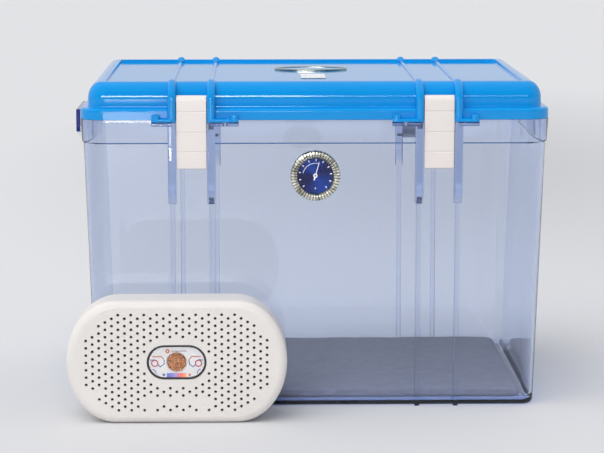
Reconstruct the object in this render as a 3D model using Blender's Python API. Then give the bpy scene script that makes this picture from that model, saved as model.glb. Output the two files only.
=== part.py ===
"""Filament dryer box: a clear latched tub with a hinged lid, a dial hygrometer and a separate dryer unit.

Origin: centre of the tub's base, on the surface it stands on. +X runs along the box, to the right of
someone facing the latches, -Y is the latch side and +Z is up. Lengths are in metres.
"""

import math

import bmesh
import bpy
from mathutils import Matrix, Vector

# Overall sizes of the box
BOX_LENGTH = 0.385
BOX_DEPTH = 0.272
RIM_HEIGHT = 0.2402
BODY_CORNER = 0.020
SMALLEST_CORNER = 0.003
GAP = 0.0003

# Tub walls
DRAFT = 0.0345
BODY_WALL = 0.0026
FLOOR_THICKNESS = 0.003
BASE_FILLET = 0.0045
BAND_HEIGHT = 0.0197
BAND_STEP = 0.0012
BAND_DRAFT = 0.001
LIP_INSET = 0.0028
LIP_WIDTH = 0.0022
LIP_HEIGHT = 0.0041

# Ribs, shared by the tub and the lid
RIB_INNER_X = 0.085
RIB_OUTER_X = 0.117
RIB_WIDTH = 0.0068
RIB_REACH = 0.0052
RIB_FOOT_DROP = 0.0592
RIB_SLOPE = 0.010
RIB_TAPER_HEIGHT = 0.012
RIB_TAPER = 0.0006
THIN_RIB_WIDTH = 0.004
THIN_RIB_DEPTH = 0.0022
LID_RIB_DROP = 0.0015

# Tie tabs beside the ribs
TAB_REACH = 0.0073
TAB_THICKNESS = 0.0025
TAB_TIP_INNER = 0.0625
TAB_TIP_OUTER = 0.1335
TAB_BOSS_RADIUS = 0.0036
TAB_BOSS_HEIGHT = 0.0056
TAB_HOLE_RADIUS = 0.0021
TAB_HOLE_PITCH = 0.0075

# Side handles
HANDLE_LENGTH = 0.074
HANDLE_REACH = 0.0098
HANDLE_PLATE = 0.0034
HANDLE_DROP = 0.0195
HANDLE_WEB = 0.0024
HANDLE_GUSSET_DROP = 0.033
HANDLE_GUSSET = 0.0024

# Lid
LID_WALL = 0.0024
LID_RIM_HEIGHT = 0.009
LID_RIM_ROUND = 0.0026
DOME_INSET = 0.0062
DOME_FOOT = 0.0016
DOME_WIDTH = 0.0108
DOME_HEIGHT = 0.014
DOME_WALL_HEIGHT = 0.0055
STRIP_WIDTH = 0.0035
PANEL_RECESS = 0.0023
PANEL_RIDGE_WIDTH = 0.003
PANEL_RIDGE_HEIGHT = 0.0014
RIB_CREST = 0.002
GROOVE_WIDTH = 0.0058
GROOVE_WALL = 0.0014
GROOVE_WALL_DROP = 0.0037
GASKET_WIDTH = 0.0048

# Badge and sticker on the lid
BADGE_LENGTH = 0.064
BADGE_DEPTH = 0.036
BADGE_THICKNESS = 0.0012
BADGE_Y = 0.027
STICKER_LENGTH = 0.021
STICKER_DEPTH = 0.044
STICKER_THICKNESS = 0.0003
STICKER_Y = -0.046
STICKER_CORNER = 0.002

# Latches
LATCH_PLATE = 0.003
LATCH_HEIGHT = 0.060
LATCH_BARREL_RADIUS = 0.0045
LATCH_HOOK_HEIGHT = 0.0034
CATCH_HEIGHT = 0.004
CATCH_STEP = 0.0004
CATCH_CLEARANCE = 0.0001
LATCH_GROOVES = (0.013, 0.030, 0.046)
LATCH_GROOVE_DEPTH = 0.0005
LATCH_EDGE = 0.0008
LATCH_BACK_EDGE = 0.0004
HOOK_RAMP = 0.0015
HOOK_FACE_RISE = 0.001
BARREL_CLEARANCE = 0.0012
PIN_CHAMFER = 0.0004
PIN_RADIUS = 0.0015
PIN_CLEARANCE = 0.0003
PIN_END_CAP = 0.0018

# Rear hinges
HINGE_REACH = 0.0055
HINGE_BARREL_RADIUS = 0.004
LEAF_HEIGHT = 0.0355
LEAF_PLATE = 0.0028
LEAF_FOOT_RADIUS = 0.0032
LEAF_CLEARANCE = 0.0008
LEAF_TOP_DROP = 0.004
LEAF_FACE_DROP = 0.007
LEAF_FOOT_RISE = 0.006

# Foam mat
FOAM_THICKNESS = 0.008
FOAM_CLEARANCE = 0.0028
FOAM_EDGE = 0.0012

# Hygrometer
GAUGE_DROP = 0.0457
BEZEL_RADIUS = 0.0204
BEZEL_DEPTH = 0.0052
DIAL_WINDOW_RADIUS = 0.01475
CASE_RADIUS = 0.0172
CASE_WALL = 0.001
CASE_DEPTH = 0.0105
CASE_FLANGE = 0.0018
GAUGE_SEAL = 0.001
LENS_THICKNESS = 0.001
DIAL_THICKNESS = 0.0005
ARBOR_RADIUS = 0.0008
NEEDLE_LENGTH = 0.0105
NEEDLE_TAIL = 0.004
NEEDLE_WIDTH = 0.0011
NEEDLE_REST_DEG = 16.0
NEEDLE_THICKNESS = 0.0003
NEEDLE_LIFT = 0.0004
NEEDLE_TIP = 0.00018
HUB_RADIUS = 0.0017
BEZEL_WALL = 0.0008
BEZEL_EDGE = 0.0004
BEZEL_STEPS = ((0.0012, 0.0007), (0.0026, 0.0007), (0.0031, 0), (0.0042, 0))
CASE_VENT_RADIUS = 0.004
CASE_EDGE = 0.0006
DIAL_DEPTH = 0.0019
RETAINER_WIDTH = 0.0028
RETAINER_THICKNESS = 0.0022
BRIDGE_RISE = 0.0018
BRIDGE_THICKNESS = 0.0006
BRIDGE_HALF_WIDTH = 0.0022
COIL_TURNS = 3
COIL_STRIP = 0.0003
COIL_WIDTH = 0.0025

# Dryer unit
DRYER_X = -0.1128
DRYER_LENGTH = 0.178
DRYER_HEIGHT = 0.100
DRYER_DEPTH = 0.038
DRYER_BACK_Y = -0.150
DRYER_WALL = 0.002
DRYER_END_WIDTH = 0.0435
DRYER_EDGE_ROUND = 0.006
VENT_PITCH = 0.006
VENT_RADIUS = 0.0012
VENT_SIDES = 4
VENT_END_COLUMN = 14
VENT_FULL_COLUMN = 9
VENT_SHORT_COLUMN = 12
VENT_EDGE = 0.011
VENT_BLANK_COLUMN = 5
VENT_BLANK_LOW = 0.0165
VENT_BLANK_HIGH = 0.0205
LOW_GAP_COLUMN = 4
LOW_GAP_DROP = 0.036
WINDOW_LENGTH = 0.0476
WINDOW_HEIGHT = 0.0275
WINDOW_RISE = 0.0003
WINDOW_FRAME_WIDTH = 0.0012
WINDOW_MARGIN = 0.0044
WINDOW_PROUD = 0.0003
WINDOW_DEPTH = 0.0042
PANE_SPAN = (0.0002, 0.001)
CARD_SPAN = (0.0013, 0.0019)
BEADS_SPAN = (0.0022, 0.0056)
PORT_RADIUS = 0.0079
UPPER_SCREW_X = 0.066
UPPER_SCREW_RISE = 0.036
LOWER_SCREW_COLUMN = 12
LOWER_SCREW_DROP = 0.024
SCREW_RADIUS = 0.00125
SCREW_HEAD_RADIUS = 0.0026
SCREW_BOSS_WALL = 0.0018
SCREW_HEAD_HEIGHT = 0.0018
SCREW_SLOT = 0.0005
SCREW_BITE = 0.010
SCREW_SEAT = 0.006
MESH_THICKNESS = 0.0005
MESH_INSET = 0.0006
PACK_INSET = 0.0045
PACK_EDGE = 0.003
PACK_BACK_EDGE = 0.002
PACK_OVERLAP = 0.0008
HEATER_LENGTH = 0.096
HEATER_HEIGHT = 0.052
HEATER_THICKNESS = 0.0015
ELEMENT_SIZE = (0.040, 0.022)
ELEMENT_DEPTH = 0.005
ELEMENT_RISE = 0.004
THERMOSTAT_X = 0.034
THERMOSTAT_RADIUS = 0.007
THERMOSTAT_DEPTH = 0.006
BOARD_SIZE = (0.056, 0.012)
BOARD_THICKNESS = 0.0016
BOARD_SETBACK = 0.0085
BOARD_Z = 0.030
BLOCK_CORNER = 0.0015
INLET_Z = 0.016
INLET_HALF = (0.008, 0.0045)
INLET_CORNER = 0.003
INLET_WALL = 0.0018
INLET_DEPTH = 0.010
INLET_RECESS = 0.007
INLET_SINK = 0.0004
INLET_PIN_X = 0.0032
INLET_PIN_RADIUS = 0.0008
INLET_PIN_LENGTH = 0.0048
INLET_PIN_BACK = 0.0043

# Smoothness of round shapes
CORNER_STEPS = 5
DOME_STEPS = 5
TURN_STEPS = 28
PIN_STEPS = 12
OUTLINE_STEPS = 8

FRONT = -1
BACK = 1
LEFT = -1
RIGHT = 1

# Heights and half sizes worked out from the driving sizes
RIM_HALF = (BOX_LENGTH / 2, BOX_DEPTH / 2)
BAND_BOTTOM = RIM_HEIGHT - BAND_HEIGHT
RIB_FOOT_HEIGHT = RIM_HEIGHT - RIB_FOOT_DROP
GAUGE_HEIGHT = RIM_HEIGHT - GAUGE_DROP
LIP_TOP = RIM_HEIGHT + LIP_HEIGHT
LID_BOTTOM = RIM_HEIGHT + GAP
LID_RIM_TOP = LID_BOTTOM + LID_RIM_HEIGHT
DOME_BOTTOM = LID_RIM_TOP + DOME_FOOT
DOME_SPRING = DOME_BOTTOM + DOME_WALL_HEIGHT
STRIP_TOP = DOME_SPRING + DOME_HEIGHT
PANEL_TOP = STRIP_TOP - PANEL_RECESS
STRIP_INSET = DOME_INSET + DOME_WIDTH
RIB_FACE_Y = BOX_DEPTH / 2 + RIB_REACH
LID_RIB_BOTTOM = LID_BOTTOM - LID_RIB_DROP
BODY_RIB_TOP = LID_RIB_BOTTOM - GAP
LATCH_X = (RIB_INNER_X + RIB_OUTER_X) / 2
LATCH_WIDTH = RIB_OUTER_X - RIB_INNER_X - RIB_WIDTH - 2 * GAP - 0.0002
LATCH_INNER_Y = BOX_DEPTH / 2 + GAP
LATCH_FACE_Y = LATCH_INNER_Y + LATCH_PLATE
LATCH_AXIS_Y = LATCH_FACE_Y - LATCH_BARREL_RADIUS
LATCH_AXIS_Z = LID_RIM_TOP + LATCH_BARREL_RADIUS + 0.002
HINGE_AXIS_Y = BOX_DEPTH / 2 + HINGE_REACH
HINGE_AXIS_Z = LID_BOTTOM
PIN_SPAN = RIB_OUTER_X - RIB_INNER_X + RIB_WIDTH - 2 * PIN_END_CAP
DRYER_FRONT_Y = DRYER_BACK_Y - DRYER_DEPTH
DRYER_SPLIT_Y = DRYER_BACK_Y - DRYER_DEPTH / 2
WINDOW_Z = DRYER_HEIGHT / 2 + WINDOW_RISE
VENT_COLUMN_PITCH = VENT_PITCH * math.sqrt(3) / 2


def clear_scene():
    for thing in list(bpy.data.objects):
        bpy.data.objects.remove(thing, do_unlink=True)


def make_material(name, colour, roughness, metallic=0.0, transmission=0.0):
    made = bpy.data.materials.new(name)
    made.use_nodes = True
    shader = made.node_tree.nodes["Principled BSDF"]
    shader.inputs["Base Color"].default_value = (*colour, 1.0)
    shader.inputs["Roughness"].default_value = roughness
    shader.inputs["Metallic"].default_value = metallic
    shader.inputs["Transmission Weight"].default_value = transmission
    return made


def make_object(name, bm, finish=None, parent=None, smooth_deg=32):
    """An object made from a bmesh, with its faces outward and its round faces shaded smooth."""
    bmesh.ops.remove_doubles(bm, verts=bm.verts, dist=1e-6)
    bmesh.ops.recalc_face_normals(bm, faces=bm.faces)
    mesh = bpy.data.meshes.new(name)
    bm.to_mesh(mesh)
    bm.free()
    mesh.shade_smooth()
    mesh.set_sharp_from_angle(angle=math.radians(smooth_deg))
    thing = bpy.data.objects.new(name, mesh)
    bpy.context.scene.collection.objects.link(thing)
    thing.parent = parent
    if finish:
        mesh.materials.append(finish)
    return thing


def make_helper(name, bm, parent=None):
    """A shape that is only added to or cut from another."""
    helper = make_object(name, bm, parent=parent)
    helper.hide_render = True
    helper.display_type = "WIRE"
    return helper


def make_empty(name, location, rotation=(0, 0, 0), parent=None):
    empty = bpy.data.objects.new(name, None)
    empty.location = location
    empty.rotation_euler = rotation
    empty.parent = parent
    bpy.context.scene.collection.objects.link(empty)
    return empty


def hang(thing, pivot):
    """Parents a piece modelled in place to an empty on its joint's axis."""
    thing.parent = pivot
    thing.matrix_parent_inverse = Matrix.Translation(-pivot.location)


def combine(thing, helper, operation):
    boolean = thing.modifiers.new(helper.name, "BOOLEAN")
    boolean.operation = operation
    boolean.solver = "EXACT"
    boolean.object = helper


def rounded_rectangle(half_x, half_y, radius):
    """Corner arcs of a rounded rectangle, anticlockwise from the right side."""
    points = []
    for corner, (sign_x, sign_y) in enumerate(((1, 1), (-1, 1), (-1, -1), (1, -1))):
        for step in range(CORNER_STEPS + 1):
            angle = math.pi / 2 * (corner + step / CORNER_STEPS)
            points.append(
                (
                    sign_x * (half_x - radius) + radius * math.cos(angle),
                    sign_y * (half_y - radius) + radius * math.sin(angle),
                )
            )
    return points


def join_rings(bm, rings, closed):
    """Faces between rings of points. A closed loft joins its last ring to its first, an open one is capped."""
    loops = [[bm.verts.new(point) for point in ring] for ring in rings]
    following = loops[1:] + loops[:1] if closed else loops[1:]
    for lower, upper in zip(loops, following):
        for index in range(len(lower)):
            after = (index + 1) % len(lower)
            bm.faces.new((lower[index], lower[after], upper[after], upper[index]))
    if not closed:
        bm.faces.new(loops[0])
        bm.faces.new(loops[-1])


def box_ring(inset, height):
    """A ring of points inside the rim's outline, at one height."""
    radius = max(BODY_CORNER - inset, SMALLEST_CORNER)
    outline = rounded_rectangle(RIM_HALF[0] - inset, RIM_HALF[1] - inset, radius)
    return [(x, y, height) for x, y in outline]


def loft_box(sections, closed=False):
    """A lofted shape from pairs of inset and height."""
    bm = bmesh.new()
    join_rings(bm, [box_ring(inset, height) for inset, height in sections], closed)
    return bm


def add_prism(bm, outline, start, end, plane="YZ"):
    """An extruded outline. The plane's two letters name the outline's axes, and the third is its length."""
    place = {
        "YZ": lambda u, v, w: (w, u, v),
        "XZ": lambda u, v, w: (u, w, v),
        "XY": lambda u, v, w: (u, v, w),
    }[plane]
    join_rings(bm, [[place(u, v, w) for u, v in outline] for w in (start, end)], closed=False)


def add_cylinder(bm, centre, radius, length, axis="X", steps=PIN_STEPS):
    """A cylinder whose middle is at the centre."""
    turn = {
        "X": Matrix.Rotation(math.pi / 2, 4, "Y"),
        "Y": Matrix.Rotation(math.pi / 2, 4, "X"),
        "Z": Matrix.Identity(4),
    }[axis]
    bmesh.ops.create_cone(
        bm,
        cap_ends=True,
        segments=steps,
        radius1=radius,
        radius2=radius,
        depth=length,
        matrix=Matrix.Translation(centre) @ turn,
    )


def turned(outline, steps=TURN_STEPS):
    """A closed outline of radius and height, spun round the Z axis."""
    bm = bmesh.new()
    corners = [bm.verts.new((radius, 0, height)) for radius, height in outline]
    edges = [bm.edges.new((corners[i - 1], corners[i])) for i in range(len(corners))]
    bmesh.ops.spin(
        bm,
        geom=corners + edges,
        cent=(0, 0, 0),
        axis=(0, 0, 1),
        angle=math.tau,
        steps=steps,
        use_merge=True,
    )
    bmesh.ops.remove_doubles(bm, verts=bm.verts, dist=1e-6)
    on_axis = [edge for edge in bm.edges if all(math.hypot(*v.co.xy) < 1e-7 for v in edge.verts)]
    bmesh.ops.delete(bm, geom=on_axis, context="EDGES")
    return bm


def arc(centre, radius, start_deg, end_deg, steps):
    """Points along a circular arc, both ends included."""
    points = []
    for step in range(steps + 1):
        angle = math.radians(start_deg + (end_deg - start_deg) * step / steps)
        points.append((centre[0] + radius * math.cos(angle), centre[1] + radius * math.sin(angle)))
    return points


def wall_inset(height):
    """How far the tub's outer wall stands inside the rim at a height."""
    return BAND_STEP + BAND_DRAFT + DRAFT * max(BAND_BOTTOM - height, 0)


def wall_y(height):
    return RIM_HALF[1] - wall_inset(height)


def wall_x(height):
    return RIM_HALF[0] - wall_inset(height)


def band_y(height):
    """Half depth of the thicker band below the rim."""
    return RIM_HALF[1] - BAND_DRAFT * (RIM_HEIGHT - height) / BAND_HEIGHT


def make_tub(finish):
    inner_edge = LIP_INSET + LIP_WIDTH
    floor_round = BASE_FILLET + BODY_WALL
    sections = [
        (wall_inset(0) + BASE_FILLET, 0),
        (wall_inset(0) + 0.3 * BASE_FILLET, 0.3 * BASE_FILLET),
        (wall_inset(BASE_FILLET), BASE_FILLET),
        (wall_inset(BAND_BOTTOM), BAND_BOTTOM),
        (BAND_DRAFT, BAND_BOTTOM + BAND_STEP),
        (0, RIM_HEIGHT),
        (LIP_INSET, RIM_HEIGHT),
        (LIP_INSET, LIP_TOP),
        (inner_edge, LIP_TOP),
        (wall_inset(BAND_BOTTOM) + BODY_WALL, BAND_BOTTOM),
        (wall_inset(0) + BODY_WALL, FLOOR_THICKNESS + BASE_FILLET),
        (wall_inset(0) + floor_round, FLOOR_THICKNESS),
    ]
    tub = make_object("box_body", loft_box(sections), finish)
    combine(tub, make_tub_ribs(), "UNION")
    combine(tub, make_tub_tabs(), "UNION")
    combine(tub, make_catches(), "UNION")
    combine(tub, make_handles(), "UNION")
    combine(tub, make_tub_holes(), "DIFFERENCE")
    return tub


def rib_places():
    """Each rib's side of the box, its end and the middle of its width."""
    for side in (FRONT, BACK):
        for end in (LEFT, RIGHT):
            for middle in (RIB_INNER_X, RIB_OUTER_X):
                yield side, end, end * middle


def make_tub_ribs():
    """Thick rib ends that flank the latches and hinges, and the thin ribs that run on to the floor."""
    bm = bmesh.new()
    bite = BODY_WALL / 2
    slope_end = RIB_FOOT_HEIGHT - RIB_SLOPE
    for side, _, middle in rib_places():
        top = BODY_RIB_TOP if side == FRONT else hinge_rib_top()
        thick = [
            (side * (wall_y(slope_end) - bite), slope_end),
            (side * (wall_y(slope_end) + THIN_RIB_DEPTH), slope_end),
            (side * (RIB_FACE_Y - RIB_TAPER), RIB_FOOT_HEIGHT),
            (side * RIB_FACE_Y, RIB_FOOT_HEIGHT + RIB_TAPER_HEIGHT),
            (side * RIB_FACE_Y, top),
            (side * (wall_y(top) - bite), top),
        ]
        add_prism(bm, thick, middle - RIB_WIDTH / 2, middle + RIB_WIDTH / 2)
    ribs = make_helper("thick_rib_shapes", bm)

    bm = bmesh.new()
    for side, _, middle in rib_places():
        thin = [
            (side * (wall_y(0) - bite), BASE_FILLET),
            (side * (wall_y(0) - BASE_FILLET), 0),
            (side * (wall_y(0) + THIN_RIB_DEPTH), 0),
            (side * (wall_y(slope_end) + THIN_RIB_DEPTH - 0.0001), slope_end + 0.002),
            (side * (wall_y(slope_end) - bite), slope_end + 0.002),
        ]
        add_prism(bm, thin, middle - THIN_RIB_WIDTH / 2, middle + THIN_RIB_WIDTH / 2)
    combine(ribs, make_helper("thin_rib_shapes", bm), "UNION")
    return ribs


def tab_spans():
    """Start and end of each tie tab beside the ribs, from the box's middle outwards."""
    inner = (TAB_TIP_INNER, RIB_INNER_X)
    outer = (RIB_OUTER_X, TAB_TIP_OUTER)
    return ((inner, TAB_TIP_INNER + TAB_BOSS_RADIUS), (outer, TAB_TIP_OUTER - TAB_BOSS_RADIUS))


def tab_middle_y():
    return -(BOX_DEPTH / 2 + TAB_REACH / 2)


def make_tub_tabs():
    """Clear tabs under the lid's tabs, where a tie can go through both."""
    bm = bmesh.new()
    bottom = BODY_RIB_TOP - TAB_THICKNESS
    outline = [
        (-(BOX_DEPTH / 2 + TAB_REACH), BODY_RIB_TOP),
        (-(BOX_DEPTH / 2 + TAB_REACH), bottom),
        (-(band_y(bottom) - BODY_WALL / 2), bottom),
        (-(band_y(bottom) - BODY_WALL / 2), BODY_RIB_TOP),
    ]
    for end in (LEFT, RIGHT):
        for (near, far), _ in tab_spans():
            add_prism(bm, outline, *sorted((end * near, end * far)))
    return make_helper("tub_tab_shapes", bm)


def catch_face_y():
    """Front of the ledge that a latch snaps under."""
    return band_y(BAND_BOTTOM + CATCH_HEIGHT) + CATCH_STEP


def make_catches():
    """A ledge between each front pair of ribs, which the latch's hook snaps under."""
    bm = bmesh.new()
    top = BAND_BOTTOM + CATCH_HEIGHT
    face = catch_face_y()
    root = wall_y(BAND_BOTTOM) - BODY_WALL / 2
    outline = [(-face, top), (-face, BAND_BOTTOM), (-root, BAND_BOTTOM), (-root, top)]
    for end in (LEFT, RIGHT):
        half = (RIB_OUTER_X - RIB_INNER_X) / 2
        add_prism(bm, outline, end * LATCH_X - half, end * LATCH_X + half)
    return make_helper("catch_shapes", bm)


def make_handles():
    """A grip along each short side: a top web, a hanging plate and two end gussets."""
    bm = bmesh.new()
    half = HANDLE_LENGTH / 2
    reach = RIM_HALF[0] + HANDLE_REACH
    bite = BODY_WALL / 2
    top = RIM_HEIGHT - GAP
    grip = [
        (wall_x(top) - bite, top),
        (reach, top),
        (reach, top - HANDLE_DROP),
        (reach - HANDLE_PLATE, top - HANDLE_DROP),
        (reach - HANDLE_PLATE, top - HANDLE_WEB),
        (wall_x(top) - bite, top - HANDLE_WEB),
    ]
    gusset_foot = top - HANDLE_GUSSET_DROP
    gusset = [
        (wall_x(gusset_foot) - bite, top),
        (reach, top),
        (reach, top - HANDLE_DROP),
        (wall_x(gusset_foot) - bite, gusset_foot),
    ]
    for end in (LEFT, RIGHT):
        add_prism(bm, [(end * x, z) for x, z in grip], -half, half, "XZ")
    grips = make_helper("handle_grip_shapes", bm)

    bm = bmesh.new()
    for end in (LEFT, RIGHT):
        for start in (-half, half - HANDLE_GUSSET):
            add_prism(bm, [(end * x, z) for x, z in gusset], start, start + HANDLE_GUSSET, "XZ")
    combine(grips, make_helper("handle_gusset_shapes", bm), "UNION")
    return grips


def make_tub_holes():
    """The hygrometer's hole, the holes in the tabs and those of the hinge leaves' lower pins."""
    bm = bmesh.new()
    turn = Matrix.Rotation(math.pi / 2 + math.atan(DRAFT), 4, "X")
    place = Matrix.Translation((0, -wall_y(GAUGE_HEIGHT), GAUGE_HEIGHT)) @ turn
    bmesh.ops.create_cone(
        bm,
        cap_ends=True,
        segments=TURN_STEPS,
        radius1=CASE_RADIUS + GAP,
        radius2=CASE_RADIUS + GAP,
        depth=4 * BODY_WALL,
        matrix=place,
    )
    for end in (LEFT, RIGHT):
        for x in tab_hole_places():
            centre = (end * x, tab_middle_y(), BODY_RIB_TOP)
            add_cylinder(bm, centre, TAB_HOLE_RADIUS, 4 * TAB_THICKNESS, "Z")
        centre = (end * LATCH_X, leaf_foot()[0], leaf_foot()[1])
        add_cylinder(bm, centre, PIN_RADIUS + PIN_CLEARANCE, PIN_SPAN + 2 * GAP)
    return make_helper("tub_hole_shapes", bm)


def tab_hole_places():
    return (TAB_TIP_INNER + TAB_BOSS_RADIUS + TAB_HOLE_PITCH,)


def hinge_rib_top():
    """Height at which the clear rear ribs end, just clear of the turning hinge ears."""
    return HINGE_AXIS_Z - HINGE_BARREL_RADIUS - GAP


def leaf_foot():
    """Axis of the hinge leaf's lower pin, as Y and Z."""
    z = HINGE_AXIS_Z - LEAF_HEIGHT
    return wall_y(z) + LEAF_FOOT_RADIUS + GAP, z


def dome_curve(thickness):
    """Quarter ellipse of the lid's rounded shoulder, from its wall up to its top, as inset and height."""
    points = []
    for step in range(DOME_STEPS + 1):
        angle = math.pi / 2 * step / DOME_STEPS
        points.append(
            (
                STRIP_INSET - (DOME_WIDTH - thickness) * math.cos(angle),
                DOME_SPRING + (DOME_HEIGHT - thickness) * math.sin(angle),
            )
        )
    return points


def make_lid(finish):
    groove_inset = LID_WALL + GROOVE_WIDTH
    groove_foot = LID_RIM_TOP - LID_WALL - GROOVE_WALL_DROP
    inner_inset = groove_inset + GROOVE_WALL
    inner_curve = dome_curve(inner_inset - DOME_INSET)
    outer_curve = dome_curve(0)
    strip_inner = STRIP_INSET + STRIP_WIDTH
    sections = [
        (strip_inner + 0.0008, PANEL_TOP),
        (strip_inner, STRIP_TOP),
        *reversed(outer_curve),
        (DOME_INSET, DOME_BOTTOM),
        (DOME_INSET - 0.0012, LID_RIM_TOP + 0.0004),
        (LID_RIM_ROUND, LID_RIM_TOP),
        (0.3 * LID_RIM_ROUND, LID_RIM_TOP - 0.3 * LID_RIM_ROUND),
        (0, LID_RIM_TOP - LID_RIM_ROUND),
        (0, LID_BOTTOM),
        (LID_WALL, LID_BOTTOM),
        (LID_WALL, LID_RIM_TOP - LID_WALL),
        (groove_inset, LID_RIM_TOP - LID_WALL),
        (groove_inset, groove_foot),
        (inner_inset, groove_foot),
        *inner_curve,
        (strip_inner + LID_WALL, PANEL_TOP - LID_WALL),
    ]
    lid = make_object("lid_shell", loft_box(sections), finish)
    combine(lid, make_lid_ribs(), "UNION")
    combine(lid, make_lid_tabs(), "UNION")
    combine(lid, make_lid_holes(), "DIFFERENCE")
    return lid


def lid_rib_root(side):
    """The part of a lid rib's outline that lies inside the lid's wall, from the rim up to the panel."""
    middle = LID_WALL / 2
    half = BOX_DEPTH / 2
    points = [
        (side * (half - middle), LID_BOTTOM + GAP),
        (side * (half - middle), LID_RIM_TOP - middle),
        (side * (half - DOME_INSET - middle), LID_RIM_TOP - middle),
    ]
    points += [(side * (half - inset), height) for inset, height in dome_curve(middle)]
    points.append((side * (half - STRIP_INSET - STRIP_WIDTH - 0.003), PANEL_TOP - middle))
    return points


def lid_rib_crest(side, foot_y):
    """The free edge of a lid rib, from its knob on the lid's edge down to its foot."""
    knob_y = BOX_DEPTH / 2 - STRIP_INSET
    crest = STRIP_TOP + RIB_CREST
    points = [
        (side * (knob_y - STRIP_WIDTH - 0.003), PANEL_TOP + PANEL_RIDGE_HEIGHT),
        (side * (knob_y - STRIP_WIDTH), crest - 0.0008),
        (side * (knob_y - 0.0015), crest),
    ]
    width = foot_y - knob_y
    height = crest - DOME_SPRING
    for step in range(1, DOME_STEPS + 2):
        angle = math.pi / 2 * (1 - step / (DOME_STEPS + 1))
        points.append(
            (side * (knob_y + width * math.cos(angle)), DOME_SPRING + height * math.sin(angle))
        )
    return points


def make_lid_ribs():
    """Ribs over the lid's front and back edges, and the low ridges that join them across the panel."""
    bm = bmesh.new()
    for side, _, middle in rib_places():
        root = lid_rib_root(side)
        if side == FRONT:
            foot = [
                (-RIB_FACE_Y, LID_RIB_BOTTOM),
                (-(BOX_DEPTH / 2 + 2 * GAP), LID_RIB_BOTTOM),
                (-(BOX_DEPTH / 2 + 2 * GAP), LID_BOTTOM + GAP),
            ]
            crest = lid_rib_crest(side, RIB_FACE_Y)
        else:
            axis = (HINGE_AXIS_Y, HINGE_AXIS_Z)
            foot = arc(axis, HINGE_BARREL_RADIUS, 0, -180, 6)
            foot.append((BOX_DEPTH / 2 + HINGE_REACH - HINGE_BARREL_RADIUS, LID_BOTTOM + GAP))
            crest = lid_rib_crest(side, HINGE_AXIS_Y + HINGE_BARREL_RADIUS)
        add_prism(bm, root + crest + foot, middle - RIB_WIDTH / 2, middle + RIB_WIDTH / 2)
    bevel_edges_along_rib(bm)
    ribs = make_helper("lid_rib_shapes", bm)

    bm = bmesh.new()
    half = BOX_DEPTH / 2 - STRIP_INSET - STRIP_WIDTH - 0.001
    ridge = [
        (-half, PANEL_TOP - LID_WALL / 2),
        (half, PANEL_TOP - LID_WALL / 2),
        (half, PANEL_TOP + PANEL_RIDGE_HEIGHT),
        (-half, PANEL_TOP + PANEL_RIDGE_HEIGHT),
    ]
    for end in (LEFT, RIGHT):
        for middle in (RIB_INNER_X, RIB_OUTER_X):
            start = end * middle - PANEL_RIDGE_WIDTH / 2
            add_prism(bm, ridge, start, start + PANEL_RIDGE_WIDTH)
    combine(ribs, make_helper("lid_ridge_shapes", bm), "UNION")
    return ribs


def bevel_edges_along_rib(bm):
    """Softens the two long edges of each lid rib, outside the lid's wall."""
    picked = []
    for edge in bm.edges:
        if len(edge.link_faces) != 2 or edge.calc_length() < 0.0005:
            continue
        sideways = [abs(face.normal.x) > 0.9 for face in edge.link_faces]
        middle = (edge.verts[0].co + edge.verts[1].co) / 2
        outside = abs(middle.y) > BOX_DEPTH / 2 + 0.001 or middle.z > STRIP_TOP
        on_shoulder = shoulder_height(middle.y) + 0.0012 < middle.z
        if any(sideways) and not all(sideways) and (outside or on_shoulder) and middle.z > LID_BOTTOM:
            picked.append(edge)
    bmesh.ops.bevel(
        bm,
        geom=picked,
        offset=0.0014,
        segments=1,
        profile=0.5,
        affect="EDGES",
        clamp_overlap=True,
    )


def shoulder_height(y):
    """Height of the lid's outer surface over its shoulder, at a distance from the middle."""
    across = (abs(y) - (BOX_DEPTH / 2 - STRIP_INSET)) / DOME_WIDTH
    if across >= 1:
        return 0.0
    return DOME_SPRING + DOME_HEIGHT * math.sqrt(1 - max(across, 0) ** 2)


def make_lid_tabs():
    """Tabs with a round boss at the lid's bottom edge, beside the front ribs."""
    bm = bmesh.new()
    half = BOX_DEPTH / 2
    outline = [
        (-(half + TAB_REACH), LID_RIB_BOTTOM),
        (-(half + TAB_REACH), LID_RIB_BOTTOM + TAB_THICKNESS),
        (-half, LID_RIB_BOTTOM + 2 * TAB_THICKNESS),
        (-(half - LID_WALL / 2), LID_RIB_BOTTOM + 2 * TAB_THICKNESS),
        (-(half - LID_WALL / 2), LID_BOTTOM + GAP),
        (-(half + 2 * GAP), LID_BOTTOM + GAP),
        (-(half + 2 * GAP), LID_RIB_BOTTOM),
    ]
    for end in (LEFT, RIGHT):
        for (near, far), _ in tab_spans():
            add_prism(bm, outline, *sorted((end * near, end * far)))
    tabs = make_helper("lid_tab_shapes", bm)

    bm = bmesh.new()
    boss_bottom = LID_RIB_BOTTOM + 0.0004
    for end in (LEFT, RIGHT):
        for _, boss_x in tab_spans():
            middle = boss_bottom + TAB_BOSS_HEIGHT / 2
            centre = (end * boss_x, -(half + TAB_BOSS_RADIUS + GAP), middle)
            add_cylinder(bm, centre, TAB_BOSS_RADIUS - 0.0001, TAB_BOSS_HEIGHT, "Z", PIN_STEPS)
    combine(tabs, make_helper("tab_boss_shapes", bm), "UNION")
    return tabs


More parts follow.
